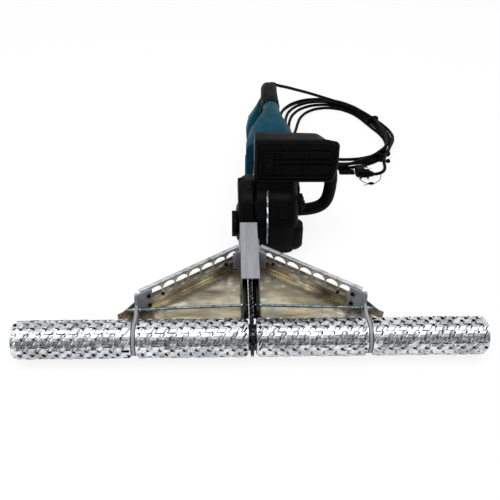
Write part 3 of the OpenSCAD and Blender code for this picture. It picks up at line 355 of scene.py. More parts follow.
cordSet = {
    "radius": 3.9,
    # the stretches that aren't coiled, each a list of places behind the saw's rear end
    "lead": [(82.4, 20, 133.1), (88.8, 26, 128.7), (95.2, 32.2, 124.3), (120.4, 54, 109), (143, 75, 93.5),
             (169.8, 97, 76.6), (194.3, 116, 61), (220.7, 131, 46), (245.8, 141, 33.6), (269, 143, 25),
             (290.6, 135, 20.8), (311, 117, 19.8), (330, 94, 19.7), (349, 61, 19.7), (360, 26, 19.5)],
    "tail": [(362, -109, 19.6), (354, -127, 19.6), (347, -143, 19.4), (342.8, -157, 18), (341.1, -169, 16),
             (340.8, -179, 14.4), (338.9, -189.9, 13.2), (333.3, -199.6, 12.5), (324.8, -206.7, 12.1),
             (314.4, -210.5, 12), (308.3, -211, 12)],
    # the coil lies as a lopsided oval, and its band of strands is narrow at the right: a mean reach in mm,
    # then each lobe's count round the oval, its size and where it peaks in degrees clockwise from the right
    "middle": (240, 0),
    "edge": (173, [(1, 9, 171), (2, 22.5, 84), (3, 8.5, 12)]),
    "band": (52, [(1, 18, 180), (2, 8, 90), (3, 8.5, -12)]),
    "margin": 4.4,
    # turns done, share of the way from the outer edge to the inner, height
    "winding": [(0.04, 0.80, 19.4), (0.13, 0.66, 19.6), (0.19, 0.38, 19.6), (0.22, 0.25, 19), (0.26, 0.13, 15),
                (0.31, 0.1, 11.9), (0.5, 0.2, 11.7), (0.64, 0.1, 11.7), (0.85, 0.28, 11.7), (1.0, 0.36, 11.7),
                (1.13, 0.25, 11.7), (1.25, 0.42, 11.7), (1.5, 0.47, 11.7), (1.64, 0.4, 11.7), (1.85, 0.64, 11.7),
                (2.0, 0.78, 11.7), (2.12, 0.78, 11.7), (2.2, 0.82, 11), (2.27, 0.9, 7.6), (2.34, 0.98, 4.4),
                (2.64, 1.0, 4.4), (2.85, 0.98, 4.4), (3.0, 1.0, 4.4), (3.13, 0.8, 4.4), (3.25, 0.62, 4.4),
                (3.5, 0.63, 4.4), (3.64, 0.58, 4.4), (3.85, 0.58, 4.4), (4.0, 0.54, 4.4), (4.13, 0.28, 4.4),
                (4.25, 0.28, 4.4), (4.5, 0.12, 4.4), (4.64, 0.02, 4.4), (4.8, 0.0, 4.8), (4.9, 0.0, 8),
                (5.0, 0.0, 13.8), (5.06, 0.05, 18.8), (5.1, 0.14, 19.6)],
    "turnPoints": 22,
}


def between(table, at):
    # a table read at one place, with a smooth line through its rows
    last = len(table) - 1
    i = next((k for k in range(last) if at <= table[k + 1][0]), last - 1)
    before, low, high, after = table[max(i - 1, 0)], table[i], table[i + 1], table[min(i + 2, last)]
    span = high[0] - low[0]
    t = min(1, max(0, (at - low[0]) / span))
    out = []
    for k in range(1, len(low)):
        up = (high[k] - before[k]) / (high[0] - before[0]) * span
        down = (after[k] - low[k]) / (after[0] - low[0]) * span
        out.append(low[k] * (2 * t ** 3 - 3 * t * t + 1) + high[k] * (3 * t * t - 2 * t ** 3)
                   + up * (t ** 3 - 2 * t * t + t) + down * (t ** 3 - t * t))
    return out


def lobed(form, degrees):
    # how far a smooth closed line reaches at one place round it
    mean, lobes = form
    return mean + sum(size * math.cos(math.radians(count * (degrees - peak))) for count, size, peak in lobes)


def coilPoint(turnsDone):
    share, height = between(cordSet["winding"], turnsDone)
    degrees = 360 * turnsDone % 360
    outer = lobed(cordSet["edge"], degrees) - cordSet["margin"]
    width = lobed(cordSet["band"], degrees) - 2 * cordSet["margin"]
    reach = outer - width * share
    cx, cy = cordSet["middle"]
    angle = math.radians(degrees)
    return cx + reach * math.cos(angle), cy - reach * math.sin(angle), height


def cordRoute():
    points = list(cordSet["lead"])
    first, last = cordSet["winding"][0][0], cordSet["winding"][-1][0]
    steps = round((last - first) * cordSet["turnPoints"])
    for i in range(1, steps):
        points.append(coilPoint(first + (last - first) * i / steps))
    points += cordSet["tail"]
    return [atEnd(*p) for p in points]


def mainsCord():
    data = bpy.data.curves.new("mainsCord", "CURVE")
    data.dimensions = "3D"
    data.bevel_depth = cordSet["radius"] / 1000
    data.bevel_resolution = 4
    data.resolution_u = 6
    data.use_fill_caps = True
    spline = data.splines.new("BEZIER")
    route = cordRoute()
    spline.bezier_points.add(len(route) - 1)
    for knot, point in zip(spline.bezier_points, route):
        knot.co = point
        knot.handle_left_type = knot.handle_right_type = "AUTO"
    piece = link(bpy.data.objects.new("mainsCord", data))
    data.materials.append(finish["cord_rubber"])
    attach(piece, "body")
    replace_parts(piece, "cord_lead", "cord_coil", "cord_tail")
    return piece, spline.calc_length()

raspSet = {"rows": 18, "pitch": 20.4, "skin": 29.0, "lift": 4.4, "sheet": 0.8, "width": 9.4, "half": 8.9,
           "ramp": 3.2, "slant": -5.5, "lean": 0.45, "shortest": 7, "inner": 28.6, "seed": 11}
raspPlaces = {"rasp_inner_left": (7.3, 195.7), "rasp_outer_left": (204.3, 401.6),
              "rasp_inner_right": (-195.7, -7.3), "rasp_outer_right": (-401.6, -204.3)}


def bridge(work, x, halfLength, angle, draw):
    # one strip of the sheet, pressed out between two slits: it slopes up at each end and its long sides
    # are open
    r = raspSet
    lift = r["lift"] * draw.uniform(0.86, 1.04)
    lean = r["lean"] * draw.uniform(-0.4, 1.6)
    half = halfLength * draw.uniform(0.93, 1.0)
    twist = draw.uniform(-0.5, 0.5)
    across = [-0.5, 0.0, 0.5]
    along = [(-half, 0.0), (-half + 0.3 * r["ramp"], 0.2), (-half + r["ramp"], 0.93),
             (-half + 1.3 * r["ramp"], 1.0), (half - 1.3 * r["ramp"], 1.0), (half - r["ramp"], 0.93),
             (half - 0.3 * r["ramp"], 0.2), (half, 0.0)]

    def row(drop, share):
        out = []
        for u, height in along:
            v = share * r["width"]
            rise = height * (lift + lean * 2 * share - (0.25 if share else 0)) + twist * share * u / half * height
            out.append(drum(x + u + r["slant"] * share, angle + v / r["skin"], r["skin"] + max(rise - drop, 0.02)))
        return out

    top = [row(0, s) for s in across]
    under = [row(r["sheet"], s) for s in across]
    rows = [[work.verts.new(p) for p in line] for line in top + under]
    count = len(along)
    # the underside takes the second finish, painted shade under the strip
    for a, b, slot in ((0, 1, 0), (1, 2, 0), (3, 4, 1), (4, 5, 1), (3, 0, 0), (2, 5, 0)):
        for i in range(count - 1):
            face = work.faces.new((rows[a][i], rows[a][i + 1], rows[b][i + 1], rows[b][i]))
            face.material_index = slot
    # the hole that the strip leaves in the sheet, closed by a dark face: painted shade standing in for the
    # roller's inside
    edge = half - 0.5 * r["ramp"]
    hole = [drum(x + u + r["slant"] * s, angle + s * r["width"] * 1.02 / r["skin"], r["skin"] + 0.12)
            for u, s in ((-edge, -0.5), (edge, -0.5), (edge, 0.5), (-edge, 0.5))]
    work.faces.new([work.verts.new(p) for p in hole]).material_index = 1


def raspSleeve(node):
    low, high = raspPlaces[node]
    r = raspSet
    work = bmesh.new()
    draw = random.Random(r["seed"] + sorted(raspPlaces).index(node))
    turns = [2 * math.pi * k / 90 for k in range(90)]
    ends = [(low, r["inner"]), (low, r["skin"]), (high, r["skin"]), (high, r["inner"])]
    skin(work, [[drum(x, a, radius) for a in turns] for x, radius in ends], capped=False)
    for k in range(r["rows"]):
        angle = 2 * math.pi * (k + 0.5) / r["rows"]
        x = math.ceil(low / r["pitch"]) * r["pitch"] + (r["pitch"] / 2 if k % 2 else 0)
        slanted = abs(r["slant"]) / 2
        reach = r["half"] + slanted
        while x > low - r["pitch"]:
            x -= r["pitch"]
        while x - reach < high:
            # a strip that meets an end of the sleeve is cut shorter there
            start, stop = max(x - r["half"], low + slanted), min(x + r["half"], high - slanted)
            if stop - start > r["shortest"]:
                bridge(work, (start + stop) / 2, (stop - start) / 2, angle + draw.uniform(-0.02, 0.02), draw)
            x += r["pitch"]
    faceOut(work)
    # the second finish is painted shade for the strips' undersides and the holes under them
    piece = pieceFrom(work, node + "_sheet", "drum", ["rasp", "slotShade"], smooth=0)
    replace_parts(piece, node)


for raspNode in raspPlaces:
    raspSleeve(raspNode)
print("rasp sleeves made")

noseSet = {"line": [(-96, 46, 0), (-95.5, 80, 14), (-66, 128, 26), (-30, 142, 20), (-18, 142, 0)], "wall": 2.4,
           "across": [(-19.2, 9), (-18.6, 6), (-16.6, 3.4), (-13.4, 1.4), (-9, 0.3), (-4, 0), (7.5, 0),
                      (9.6, 0.5), (10.7, 2)]}
traySet = {"along": (44, 60, 100, 180, 250),
           "section": [(4.3, -3), (8.9, -3.4), (8.9, -1.6), (5.0, -1.2), (4.3, -1.6)]}


def sawNose():
    # the moulded hood that closes the saw over the boom, between the chain cover and the guard
    corners = noseSet["line"]
    line = [Vector(corners[0][:2])]
    for before, here, after in zip(corners, corners[1:], corners[2:]):
        b, h, a = Vector(before[:2]), Vector(here[:2]), Vector(after[:2])
        u, v = (b - h).normalized(), (a - h).normalized()
        for k in range(9):
            t = k / 8
            reach = here[2] * 0.6
            line.append((h + u * reach) * (1 - t) ** 2 + h * 2 * t * (1 - t) + (h + v * reach) * t * t)
    line.append(Vector(corners[-1][:2]))
    work = bmesh.new()
    rings = []
    for x, drop in noseSet["across"]:
        ring = []
        for i, spot in enumerate(line):
            along = (line[min(i + 1, len(line) - 1)] - line[max(i - 1, 0)]).normalized()
            inward = Vector((along.y, -along.x))
            at = spot + inward * drop
            ring.append(saw(x, at.x, at.y))
        rings.append(ring)
    skin(work, rings, capped=False, closed=False)
    faceOut(work)
    piece = pieceFrom(work, "sawNose", "body", ["black_plastic"], 40)
    wall = piece.modifiers.new("wall", "SOLIDIFY")
    wall.thickness = noseSet["wall"] / 1000
    wall.offset = -1


def chainTray():
    # black trays between the boom's plates, one on each side of the chain
    work = bmesh.new()
    for side in (-1, 1):
        skin(work, [[boom(side * x, y, z) for x, z in traySet["section"]] for y in traySet["along"]])
    faceOut(work)
    pieceFrom(work, "chainTrays", "body", ["black_steel"], 30)


sawNose()
chainTray()
print("nose and trays made")

apronSet = {"inner": 14.4, "outer": 233, "front": 37, "level": -8.6, "top": 24, "sheet": 1.5, "start": 4,
            "root": (19.5, 176), "end": (192, 66.8), "wall": 3.9, "dent": 0.5, "cells": (48, 24)}
# each screw's place along its arm and over the boom's line, and how far its head stands off the web
screwSet = {"small": [(29.2, 14.2), (161.7, 14.2)], "end": [(190.9, 29.5), (190.9, 5.7)], "smallHead": 2.6,
            "endHead": 3.8, "endStart": -3.2}


def armRun():
    # an arm's length and its direction
    (ax, ay), (bx, by) = apronSet["root"], apronSet["end"]
    run = math.hypot(bx - ax, by - ay)
    return run, (bx - ax) / run, (by - ay) / run


def armPoint(side, along, out, height):
    # a place in mm along an arm, out behind its web, and over the boom's line
    run, ux, uy = armRun()
    ax, ay = apronSet["root"]
    return boom(side * (ax + ux * along - uy * out), ay + uy * along + ux * out, height)


def apron(side, node):
    # bent sheet: a panel over the roller, folded up behind the arm's web and higher than its lower edge
    a = apronSet
    run, ux, uy = armRun()
    longCells, crossCells = a["cells"]
    reach = (a["outer"] - a["root"][0] + uy * a["wall"]) / ux
    work = bmesh.new()
    rows = []
    for i in range(longCells + 1):
        x = a["inner"] + (a["outer"] - a["inner"]) * i / longCells
        along = (x - a["root"][0] + uy * a["wall"]) / ux
        back = min(a["root"][1] + uy * along + ux * a["wall"], a["root"][1]) - 1.6
        line = []
        for j in range(crossCells + 1):
            y = back + (a["front"] - back) * j / crossCells
            edge = min(j, crossCells - j, 5) / 5
            dent = noise.noise(Vector((side * x / 55, y / 26, 3.1 * side))) * a["dent"] * edge
            line.append(work.verts.new(boom(side * x, y, a["level"] + dent)))
        rows.append(line)
    for low, high in zip(rows, rows[1:]):
        for j in range(crossCells):
            work.faces.new((low[j], low[j + 1], high[j + 1], high[j]))
    wall = []
    for i in range(longCells + 1):
        along = a["start"] + (reach - a["start"]) * i / longCells
        past = max(0, along - run - 6)
        top = a["top"] - min(past * 0.5, 14)
        line = []
        for out, height in ((-1.2, a["level"] + 0.2), (-0.35, a["level"] + 0.5), (0, a["level"] + 1.6),
                            (0, a["level"] + 12), (0.1, top - 0.8), (0.35, top)):
            wave = noise.noise(Vector((along / 30, height / 14, side))) * 0.12
            line.append(work.verts.new(armPoint(side, along, a["wall"] + out + wave, height)))
        wall.append(line)
    for low, high in zip(wall, wall[1:]):
        for j in range(len(low) - 1):
            work.faces.new((low[j], low[j + 1], high[j + 1], high[j]))
    faceOut(work)
    piece = pieceFrom(work, node + "_sheet", "body", ["apron_sheet"], 50)
    thick = piece.modifiers.new("sheet", "SOLIDIFY")
    thick.thickness = a["sheet"] / 1000
    thick.offset = 0
    edge = piece.modifiers.new("edge", "BEVEL")
    edge.width = 0.0003
    edge.segments = 1
    edge.limit_method = "ANGLE"
    edge.angle_limit = math.radians(60)
    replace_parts(piece, node)


def foldShadeStrips():
    # painted shade: a black strip under the gap left along each apron's fold, so that the gap looks dark inside
    a = apronSet
    run, ux, uy = armRun()
    work = bmesh.new()
    for side in (-1, 1):
        rings = []
        for i in range(13):
            along = a["start"] - 4 + (run + 26) * i / 12
            rings.append([armPoint(side, along, a["wall"] + out, a["level"] + z)
                          for out, z in ((-3.2, -1.6), (0.4, -1.6), (0.4, -0.4), (-3.2, -0.4))])
        skin(work, rings)
    faceOut(work)
    pieceFrom(work, "apronFoldShade", "body", ["black_steel"], 30)


def capScrew(work, side, along, height, head, start):
    # a round head with a hexagon socket, and the shank through the sheets behind it
    rings = []
    for out, r in ((start, head), (start - 0.5, head), (start - 2.6, head), (start - 3.1, head - 0.5),
                   (start - 3.1, head * 0.56), (start - 1.2, head * 0.52)):
        six = r < head * 0.6
        ring = []
        for k in range(24):
            turn = 2 * math.pi * k / 24
            reach = r / math.cos((turn % (math.pi / 3)) - math.pi / 6) * 0.9 if six else r
            ring.append(armPoint(side, along + reach * math.cos(turn), out, height + reach * math.sin(turn)))
        rings.append(ring)
    skin(work, rings)
    shank = [[armPoint(side, along + r * math.cos(k * math.pi / 8), out,
                       height + r * math.sin(k * math.pi / 8))
              for k in range(16)] for out, r in ((start, head * 0.5), (7.4, head * 0.5), (8, head * 0.4))]
    skin(work, shank)


def armScrews():
    work = bmesh.new()
    for side in (-1, 1):
        for along, height in screwSet["small"]:
            capScrew(work, side, along, height, screwSet["smallHead"], 0)
        for along, height in screwSet["end"]:
            capScrew(work, side, along, height, screwSet["endHead"], screwSet["endStart"])
    faceOut(work)
    piece = pieceFrom(work, "armScrews", "body", ["black_screw"], 30)
    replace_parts(piece, "arm_screws")


apron(1, "apron_left")
apron(-1, "apron_right")
foldShadeStrips()
armScrews()
print("aprons and screws made")

guardSet = {"left": 11.5, "right": 175, "low": 150, "high": 245, "front": -48, "back": -14, "wall": 2.6,
            "frame": [(22, 161, 8), (164.5, 161, 9), (166, 196, 6), (165, 213, 7), (157, 221.5, 9),
                      (22, 221.5, 9)],
            "face": -45.2, "barWidth": 3, "uprights": (53.5, 63, 108, 118.5), "rails": (186.8, 197.7),
            "stiffeners": (34, 60, 86, 112, 138), "pivot": (10, 132), "arms": (13.4, 101.6),
            "armOutline": [(-47, 196, 2), (-47, 166, 2), (6.5, 124, 6), (15.5, 138.5, 6), (-30, 181, 14),
                           (-40, 196, 3)]}


def guardOutline(d):
    g = guardSet
    corners = [(g["left"], g["low"], 8), (g["right"] - 7, g["low"], 14), (g["right"], g["high"] - 36, 10),
               (g["right"] - 8, g["high"] - 28, 10), (g["right"] - 43, g["high"] - 4, 20),
               (g["left"], g["high"], 6)]
    return rounded(inset(corners, d), 7)


def guardFront(d):
    # the face is squarer than the back, which is cut away towards the handle
    g = guardSet
    corners = [(g["left"], g["low"], 8), (g["right"] - 7, g["low"], 14), (g["right"], 192, 20),
               (g["right"] - 1, 238, 12), (g["right"] - 26, 243.6, 10), (g["left"], 244.6, 7)]
    return rounded(inset(corners, d), 7)


def guardBack(z, depth):
    # the back edge runs up and away from the face
    edge = min(guardSet["back"], -38 + (z - 149) * 0.324)
    return edge if depth is None else min(edge, depth)


def moulding(work, low, high, lowZ, highZ, foot, top, draft=0.5):
    # a moulded bar standing on the guard's face, narrower at its top
    skin(work, [[saw(x, y, z) for x, z in rounded(boxCorners(low, high, lowZ, highZ, 0.5, d), 2)]
                for y, d in ((foot, 0), (top + 0.5, draft), (top, draft + 0.5))])


def guardFace():
    g = guardSet
    work = bmesh.new()
    rings = []
    # from the back edge over the rim: depth, how far drawn in, and how much of the face's outline it has
    rimRings = [(None, 0.2, 0), (-24, 0.2, 0), (-36, 0.2, 0.45), (-43.5, 0.1, 1), (-46.4, 0.6, 1),
                (-47.8, 1.8, 1), (-48, 3.0, 1), (-50.2, 3.4, 1), (-50.9, 4.2, 1), (-50.9, 6.6, 1),
                (-50.2, 7.4, 1), (-47.4, 8.0, 1)]
    for depth, d, share in rimRings:
        rings.append([saw(bx + (fx - bx) * share, guardBack(bz, depth), bz + (fz - bz) * share)
                      for (bx, bz), (fx, fz) in zip(guardOutline(d), guardFront(d))])
    frameRings = [(-47.4, 0), (-50.2, 0.5), (-50.9, 1.3), (-50.9, 3.2), (-50.2, 4), (-46, 4.8), (-45.6, 6)]
    for depth, d in frameRings:
        rings.append([saw(x, depth, z) for x, z in rounded(inset(g["frame"], d), 7)])
    skin(work, rings, capped=False)
    work.faces.new([work.verts.new(p) for p in rings[-1]])
    bmesh.ops.remove_doubles(work, verts=work.verts, dist=1e-6)
    faceOut(work)
    piece = pieceFrom(work, "guardShell", "hand_guard", ["black_plastic"], 34)
    wall = piece.modifiers.new("wall", "SOLIDIFY")
    wall.thickness = g["wall"] / 1000
    wall.offset = -1
    return piece


def guardDetails():
    g = guardSet
    work = bmesh.new()
    for x in g["uprights"]:
        moulding(work, x, x + g["barWidth"], 165.5, 217, g["face"], -49.4)
    for z in g["rails"]:
        moulding(work, g["uprights"][0], 161.5, z, z + g["barWidth"], g["face"], -49.2)
    # the cell at the left: a raised rim and a block low down in it
    cell = ((27, 29.2, 168, 217), (49, 51.2, 168, 217), (27, 51.2, 168, 170.2), (27, 51.2, 214, 216.2))
    for low, high, lowZ, highZ in cell:
        moulding(work, low, high, lowZ, highZ, g["face"], -48.4, 0.3)
    moulding(work, 32, 45, 176, 190, g["face"], -47.6, 0.8)
    # corner stiffeners between the frame and the rim
    for x in g["stiffeners"]:
        moulding(work, x, x + 2.4, 224.5, 233.5, -46.8, -48.8, 0.3)
    # the two arms back to the pivot, each with a round eye
    py, pz = g["pivot"]
    for x in g["arms"]:
        skin(work, [[saw(x + at, y, z) for y, z in rounded(inset(g["armOutline"], d), 5)]
                    for at, d in ((0, 0.5), (0.5, 0), (3.1, 0), (3.6, 0.5))])
        skin(work, [[saw(x + at, py + r * math.cos(k * math.pi / 18), pz + r * math.sin(k * math.pi / 18))
                     for k in range(36)] for at, r in ((0, 8.2), (0.6, 9), (3.0, 9), (3.6, 8.2))])
    faceOut(work)
    pieceFrom(work, "guardDetails", "hand_guard", ["black_plastic"], 30)


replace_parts(guardFace(), "hand_guard")
guardDetails()
print("hand guard made")

handleSet = {
    "radius": 13.5,
    # the tube's centre, from its foot on the motor housing up and over to the gear housing
    "line": [(101.5, -15, 64), (106, -15, 64), (111, -15, 64), (127, -15, 65.5), (143, -14, 69), (156, -12, 75.5),
             (164.5, -9.5, 87), (168.5, -7, 104), (170, -4.5, 122), (169, -2, 143), (164, 1, 166), (153, 5, 182),
             (136, 8, 191), (112, 9, 195), (84, 9, 195), (58, 9, 191), (42, 9, 182), (36, 9, 168), (36, 9, 159),
             (36, 9, 150.2)],
    "grip": (0.42, 0.86),  # where the soft grip starts and stops, as shares of the tube
    "foot": (102, 118, -15, 5, 72, 87),
}
fittingSet = {
    "sideScrews": [(94.6, -66, 98), (94.6, -50, 22), (94.6, 78, 24), (94.6, 80, 138)],
    "rearScrews": [(107.9, 112, 130), (107.9, 112, 40), (104.5, 150, 22)],
    "panel": [(-92.4, 84), (-66.5, 121)],  # the gear housing's slope, low end and high end
    "sideLouvres": 7,
    "rearLouvres": 9,
    "ribs": 6,
    "catch": [(101, 112, -48, -30, 78, 97), (104, 116, -44, -36, 84, 102)],
}


def frontHandle():
    # a moulded tube: thick at its feet, with the soft grip standing a little proud over the middle
    h = handleSet
    line = curved([saw(*p) * 1000 for p in h["line"]], 6)
    count = len(line)
    gripFrom, gripTo = h["grip"]
    radius = []
    for i in range(count):
        share = i / (count - 1)
        grip = min(1, max(0, (share - gripFrom) / 0.012)) * min(1, max(0, (gripTo - share) / 0.012))
        flare = max(0, 1 - share / 0.05) * 1.2
        radius.append(h["radius"] - 0.7 + 0.6 * grip + flare * 0.3)
    work = bmesh.new()
    tube(work, [p / 1000 for p in line], radius, 32, up=Vector((0.2, 1, 0.1)).normalized())
    x0, x1, y0, y1, z0, z1 = h["foot"]
    skin(work, [[saw(x, y, z) for y, z in rounded(boxCorners(y0, y1, z0, z1, 2.5, d), 4)]
                for x, d in ((x0 - 0.3, 0), (x1 - 3, 0), (x1 - 0.8, 0.8), (x1, 2.4))])
    faceOut(work)
    piece = pieceFrom(work, "frontHandle", "body", [slotOf["front_handle"]], 40)
    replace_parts(piece, "front_handle")


def sideScrew(work, x, y, z, head):
    # a cross-recess screw sunk in a round boss on a side wall
    rings = []
    for out, r, cross in ((-0.4, head + 1.8, 0), (0.7, head + 1.5, 0), (0.9, head + 1.0, 0), (0.5, head + 0.5, 0),
                          (-0.2, head + 0.4, 0), (-0.2, head, 0), (0.1, head, 0), (0.6, head - 0.7, 0),
                          (0.75, head * 0.62, 0.5), (0.1, head * 0.5, 0.5)):
        ring = []
        for k in range(24):
            a = 2 * math.pi * k / 24
            reach = r * (1 - cross * (0.5 - 0.5 * math.cos(4 * a)))
            ring.append(saw(x + out, y + reach * math.cos(a), z + reach * math.sin(a)))
        rings.append(ring)
    skin(work, rings)


def louvre(work, x, side, y0, y1, z, out):
    # one moulded louvre of an air inlet: a lip that overhangs its slot
    rings = []
    for y, d in ((y0, 0.6), (y0 + 0.8, 0), (y1 - 0.8, 0), (y1, 0.6)):
        section = ((-0.5, -1.1), (out - d, -1.0), (out - d, -0.4), (0.2, 1.1), (-0.5, 1.1))
        rings.append([saw(x + side * a, y, z + b) for a, b in section])
    skin(work, rings)


def sawFittings():
    f = fittingSet
    work = bmesh.new()
    for x, y, z in f["sideScrews"]:
        sideScrew(work, x, y, z, 3.2)
    for k in range(f["sideLouvres"]):
        louvre(work, 100.6, 1, 41, 69, 51 + k * 9, 1.4)
    # three raised panels on the gear housing's slope, each with a small step
    (y0, z0), (y1, z1) = f["panel"]
    slope = Vector((y1 - y0, z1 - z0)).normalized()
    normal = Vector((-slope.y, slope.x))
    length = math.hypot(y1 - y0, z1 - z0)
    for low, high, start, stop in ((43, 56, 4, length - 3), (62, 78, 8, length - 8), (19, 34, 6, length - 4)):
        rings = []
        for out, shrink in ((-0.6, 0), (0.8, 0.2), (1.3, 0.9), (1.3, 3.0), (0.7, 3.5)):
            rings.append([saw(x, y0 + slope.x * t + normal.x * out, z0 + slope.y * t + normal.y * out)
                          for x, t in rounded(inset(boxCorners(low, high, start, stop, 2.5), shrink), 4)])
        skin(work, rings)
    # cooling ribs over the motor's shoulder
    for k in range(f["ribs"]):
        y = -34 + k * 9
        rings = []
        for x, r in ((60, 0.5), (62, 1.2), (92, 1.2), (94, 0.5)):
            rings.append([saw(x, y + a, 149.2 + b) if y > 2 else saw(x, y + a, 148.6 + (y - 2) * 0.33 + b)
                          for a, b in ((-1.2, -0.6), (1.2, -0.6), (0.8, r), (-0.8, r))])
        skin(work, rings)
    # the spring catch beside the handle's foot
    for x0, x1, y0, y1, z0, z1 in f["catch"]:
        skin(work, [[saw(x, y, z) for y, z in rounded(boxCorners(y0, y1, z0, z1, 1.5, s), 3)]
                    for x, s in ((x0, 0), (x1 - 1.2, 0), (x1, 1.2))])
    faceOut(work)
    pieceFrom(work, "sawFittings", "body", ["black_plastic"], 32)
    work = bmesh.new()
    for x, y, z in f["rearScrews"]:
        sideScrew(work, x, y, z, 3.0)
    for k in range(f["rearLouvres"]):
        louvre(work, 108.2, 1, 102, 124, 60 + k * 6.5, 1.3)
        louvre(work, 0.8, -1, 102, 124, 60 + k * 6.5, 1.3)
    faceOut(work)
    pieceFrom(work, "rearFittings", "body", ["teal_plastic"], 32)


frontHandle()
sawFittings()
print("saw details made")

cord, cordLength = mainsCord()
print("cord laid, m:", round(cordLength, 3))

# each tie's middle, how wide and how high it reaches, and the way the strands run through it in degrees
tieSet = {"width": 3.6, "thick": 1.1,
          "places": [(352, 58, 14.5, 17.5, 10.5, 118), (337, -139, 14, 12, 10.5, 62),
                     (352, -118, 15, 13, 9, 65)]}
# sizes in mm, with places measured from where the cord enters the plug
tagSet = {"plug": (268, -211, 12), "wire": 0.85, "middle": 31, "reach": (27, 25), "wave": 2.4, "steps": 24,
          "ground": 1.2, "bead": 13, "stub": 12, "strap": (37, 21, 26.5, 0.8), "card": (18, 5, 27, 7, 11.4),
          "button": (9, -4)}


def cordTies():
    # nylon ties pulled round the coil's strands, each with its square head
    t = tieSet
    work = bmesh.new()
    for x, y, z, wide, high, way in t["places"]:
        turn = math.radians(way)
        ahead = Vector((math.cos(turn), math.sin(turn), 0))
        across = Vector((-ahead.y, ahead.x, 0))
        rings = []
        for s in (-0.5, -0.42, 0.42, 0.5):
            grow = t["thick"] if abs(s) < 0.45 else t["thick"] * 0.6
            ring = []
            for k in range(40):
                a = 2 * math.pi * k / 40
                rise = (high + grow) * math.sin(a) * (1 if math.sin(a) > 0 else 0.94)
                step = ahead * (s * t["width"]) + across * ((wide + grow) * math.cos(a)) + Vector((0, 0, rise))
                ring.append(atEnd(x, y, z) + step / 1000)
            rings.append(ring)
        skin(work, rings)
        head = atEnd(x, y, z) + across * ((wide + 2.2) / 1000)
        rings = []
        for u, d in ((-3.2, 0.8), (-2.6, 0), (2.6, 0), (3.2, 0.8)):
            rings.append([head + across * (u / 1000) + (ahead * a + Vector((0, 0, b))) / 1000
                          for a, b in rounded(boxCorners(-3.4, 3.4, -3, 3, 0.8, d), 3)])
        skin(work, rings)
    faceOut(work)
    pieceFrom(work, "cordTies", "body", ["cord_rubber"], 35)


def plate(work, middle, size, levels):
    # a rounded rectangle lying level: heights, and how far its outline is drawn in at each
    (cx, cy), (long, wide) = middle, size
    corners = boxCorners(cx - long / 2, cx + long / 2, cy - wide / 2, cy + wide / 2, 1.5)
    skin(work, [[atEnd(a, b, z) for a, b in rounded(inset(corners, d), 4)] for z, d in levels])


def wireLoop():
    # half an oval on the ground before the plug, a little wavy, whose two ends climb to the plug
    t = tagSet
    px, py, pz = t["plug"]
    for i in range(t["steps"] + 1):
        angle = math.pi * i / t["steps"]
        out = math.sin(angle)
        ripple = t["wave"] * math.cos(4 * angle) * out
        height = t["ground"] + (pz - t["ground"]) * (1 - out) ** 2
        yield (px + t["middle"] - t["reach"][0] * math.cos(angle), py - t["reach"][1] * out - ripple, height)


def wireTag():
    # a thin wire tie beside the plug with its black bead, the coil's strap end, and a card stuck on the plug
    t = tagSet
    px, py, pz = t["plug"]
    loop = list(wireLoop())
    work = bmesh.new()
    tube(work, [atEnd(*p) for p in loop], t["wire"], 10)
    low = loop[t["steps"] // 2]
    start = (low[0] - t["bead"] / 2 + 1, low[1], low[2] + 1)
    stub = [(start[0] - t["stub"] * s, start[1] - 0.4 * t["stub"] * s, start[2] - s) for s in (0, 0.25, 0.6, 1)]
    tube(work, [atEnd(*p) for p in stub], t["wire"], 10)
    bead = atEnd(low[0], low[1], low[2] + 2.1)
    line = [bead + Vector((k * t["bead"], 0, 0)) / 1000 for k in (-0.5, -0.43, -0.15, 0.15, 0.43, 0.5)]
    tube(work, line, [1.6, 2.8, 3.3, 3.3, 2.8, 1.6], 18)
    long, wide, behind, gap = t["strap"]
    plate(work, (px - gap - long / 2, py + behind), (long, wide), [(0.2, 0.5), (0.7, 0), (2.9, 0), (3.4, 0.5)])
    tail = next(p for p in cordSet["tail"] if p[1] < -155)
    button = atEnd(tail[0] + t["button"][0], tail[1] + t["button"][1], tail[2])
    line = [button + Vector((k, 0.1 * k, 0)) / 1000 for k in (-9, -4.6, -4.2, -3, 2.6, 4.4, 5)]
    tube(work, line, [1.6, 1.6, 4.4, 5.2, 5.2, 3.6, 1.2], 20)
    faceOut(work)
    pieceFrom(work, "wireTag", "body", ["cord_rubber"], 35)
    work = bmesh.new()
    long, wide, right, behind, up = t["card"]
    pz += up
    plate(work, (px + right, py + behind), (long, wide), [(pz, 0), (pz + 0.5, 0), (pz + 0.8, 0.3)])
    faceOut(work)
    pieceFrom(work, "tagCard", "body", ["tag"], 30)


cordTies()
wireTag()
print("ties and tag made")

for softNode, width in (("axle", 0.4), ("drum_hubs", 0.5), ("guide_bar", 0.2), ("boom_plate_left", 0.5),
                    ("boom_plate_right", 0.5), ("chain_cover", 0.7), ("arm_left", 0.35), ("arm_right", 0.35),
                    ("arm_root_left", 0.5), ("arm_root_right", 0.5), ("boom_bolts", 0.4), ("hanger_left", 0.5),
                    ("hanger_right", 0.5), ("gear_housing", 1.0), ("motor_housing", 1.0), ("base_cover", 1.0),
                    ("grip_overmould", 0.4), ("rear_housing_left", 0.6), ("rear_housing_right", 0.6),
                    ("sprocket_cover", 1.0), ("spike_bumper", 0.3), ("clamp_knob", 0.8), ("clamp_lever", 0.6),
                    ("tension_dial", 0.5), ("guard_pivots", 0.4), ("trigger", 0.8), ("lock_off_button", 0.6),
                    ("oil_cap", 0.6), ("axle_bearings", 0.4), ("tie_rods", 0.2)):
    softened(softNode, width)
print("edges broken")


